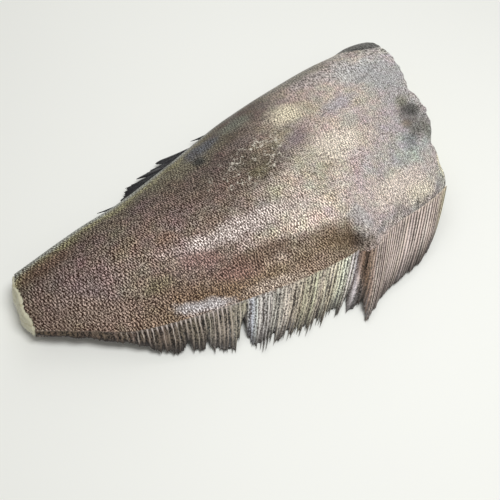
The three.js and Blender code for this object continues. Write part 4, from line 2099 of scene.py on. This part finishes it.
@dataclass
class Studio:
    """Pale floor, soft light from above and a camera at the photograph's angle."""

    target: tuple[float, float, float] = (-20.5, -18.0, 0.0)
    azimuth_deg: float = -34.0
    elevation_deg: float = 55.0
    distance: float = 540.0
    field_deg: float = 37.7
    sensor: float = 36.0
    clip_start: float = 0.01
    floor_half: float = 2500.0
    floor_colour: Colour = (0.87, 0.885, 0.85)
    floor_shade: float = 0.985
    floor_clouds: Noise = Noise(6.0, 3.0)
    floor_roughness: float = 0.7
    lamps: tuple[Lamp, ...] = (
        Lamp("overhead", (120.0, -240.0, 900.0), 420.0, 5.8),
        Lamp("window", (500.0, 1100.0, 700.0), 700.0, 4.0),
    )
    sky: Colour = (1.0, 0.975, 0.94)
    sky_strength: float = 0.35

    def build(self) -> None:
        """Sets up the floor, the lights, the camera and the view's tone."""
        self.floor()
        for lamp in self.lamps:
            lamp.make()
        self.world()
        self.camera()
        bpy.context.scene.view_settings.view_transform = "Standard"

    def floor(self) -> None:
        """A level square just under the fish, faintly clouded."""
        signs = np.array([(-1.0, -1.0, 0.0), (1.0, -1.0, 0.0), (1.0, 1.0, 0.0), (-1.0, 1.0, 0.0)])
        made = Shell(self.floor_half * signs, [np.array([[0, 1, 2, 3]])]).to_object("floor")
        material, paint, shader = new_material("pale_floor")
        tone = paint.noise(paint.node("TexCoord").outputs["Object"], self.floor_clouds)
        darker = tuple(self.floor_shade * part for part in self.floor_colour)
        paint.feed(shader.inputs["Base Color"], paint.mix(tone, darker, self.floor_colour))
        shader.inputs["Roughness"].default_value = self.floor_roughness
        made.data.materials.append(material)

    def world(self) -> None:
        """Even light from all round."""
        world = bpy.data.worlds.new("soft_room")
        world.use_nodes = True
        background = world.node_tree.nodes["Background"]
        background.inputs["Color"].default_value = (*self.sky, 1.0)
        background.inputs["Strength"].default_value = self.sky_strength
        bpy.context.scene.world = world

    def camera(self) -> None:
        """The camera on a sphere round its target, looking at it."""
        azimuth, elevation = math.radians(self.azimuth_deg), math.radians(self.elevation_deg)
        level = math.cos(elevation)
        back = Vector((math.sin(azimuth) * level, -math.cos(azimuth) * level, math.sin(elevation)))
        lens = bpy.data.cameras.new("camera")
        lens.sensor_width = self.sensor
        lens.lens = self.sensor / 2.0 / math.tan(math.radians(self.field_deg) / 2.0)
        lens.clip_start = self.clip_start
        made = bpy.data.objects.new("camera", lens)
        made.location = (Vector(self.target) + back * self.distance) * MM
        made.rotation_euler = back.to_track_quat("Z", "Y").to_euler()
        bpy.context.scene.collection.objects.link(made)
        bpy.context.scene.camera = made


def main() -> None:
    """Builds and dresses the pieces in order, then the studio round them."""
    logging.basicConfig(level=logging.INFO, format="%(name)s: %(message)s")
    form = TrunkForm()
    loop, effects = BodyLoop(form), SharedEffects()
    skin, flesh = SkinFinish(effects).material(), FleshFinish(effects).material()
    spread, folded = FinFinish.spread(effects).material(), FinFinish.folded(effects).material()
    pieces = (
        Hide("skin", Slot.SKIN, skin, loop),
        CutFace("tail_cut_flesh", Slot.FLESH, flesh, loop, Cut.TAIL, sink=-1.0, bulge=1.6),
        CutFace("head_cut_flesh", Slot.FLESH, flesh, loop, Cut.HEAD, rim_share=0.955, sink=3.2),
        anal_fin(form, spread),
        dorsal_fin(form, folded),
    )
    for piece in pieces:
        mesh = piece.make().data
        log.info("%s: %d points, %d faces", piece.name, len(mesh.vertices), len(mesh.polygons))
    Studio().build()


if __name__ == "__main__":
    main()
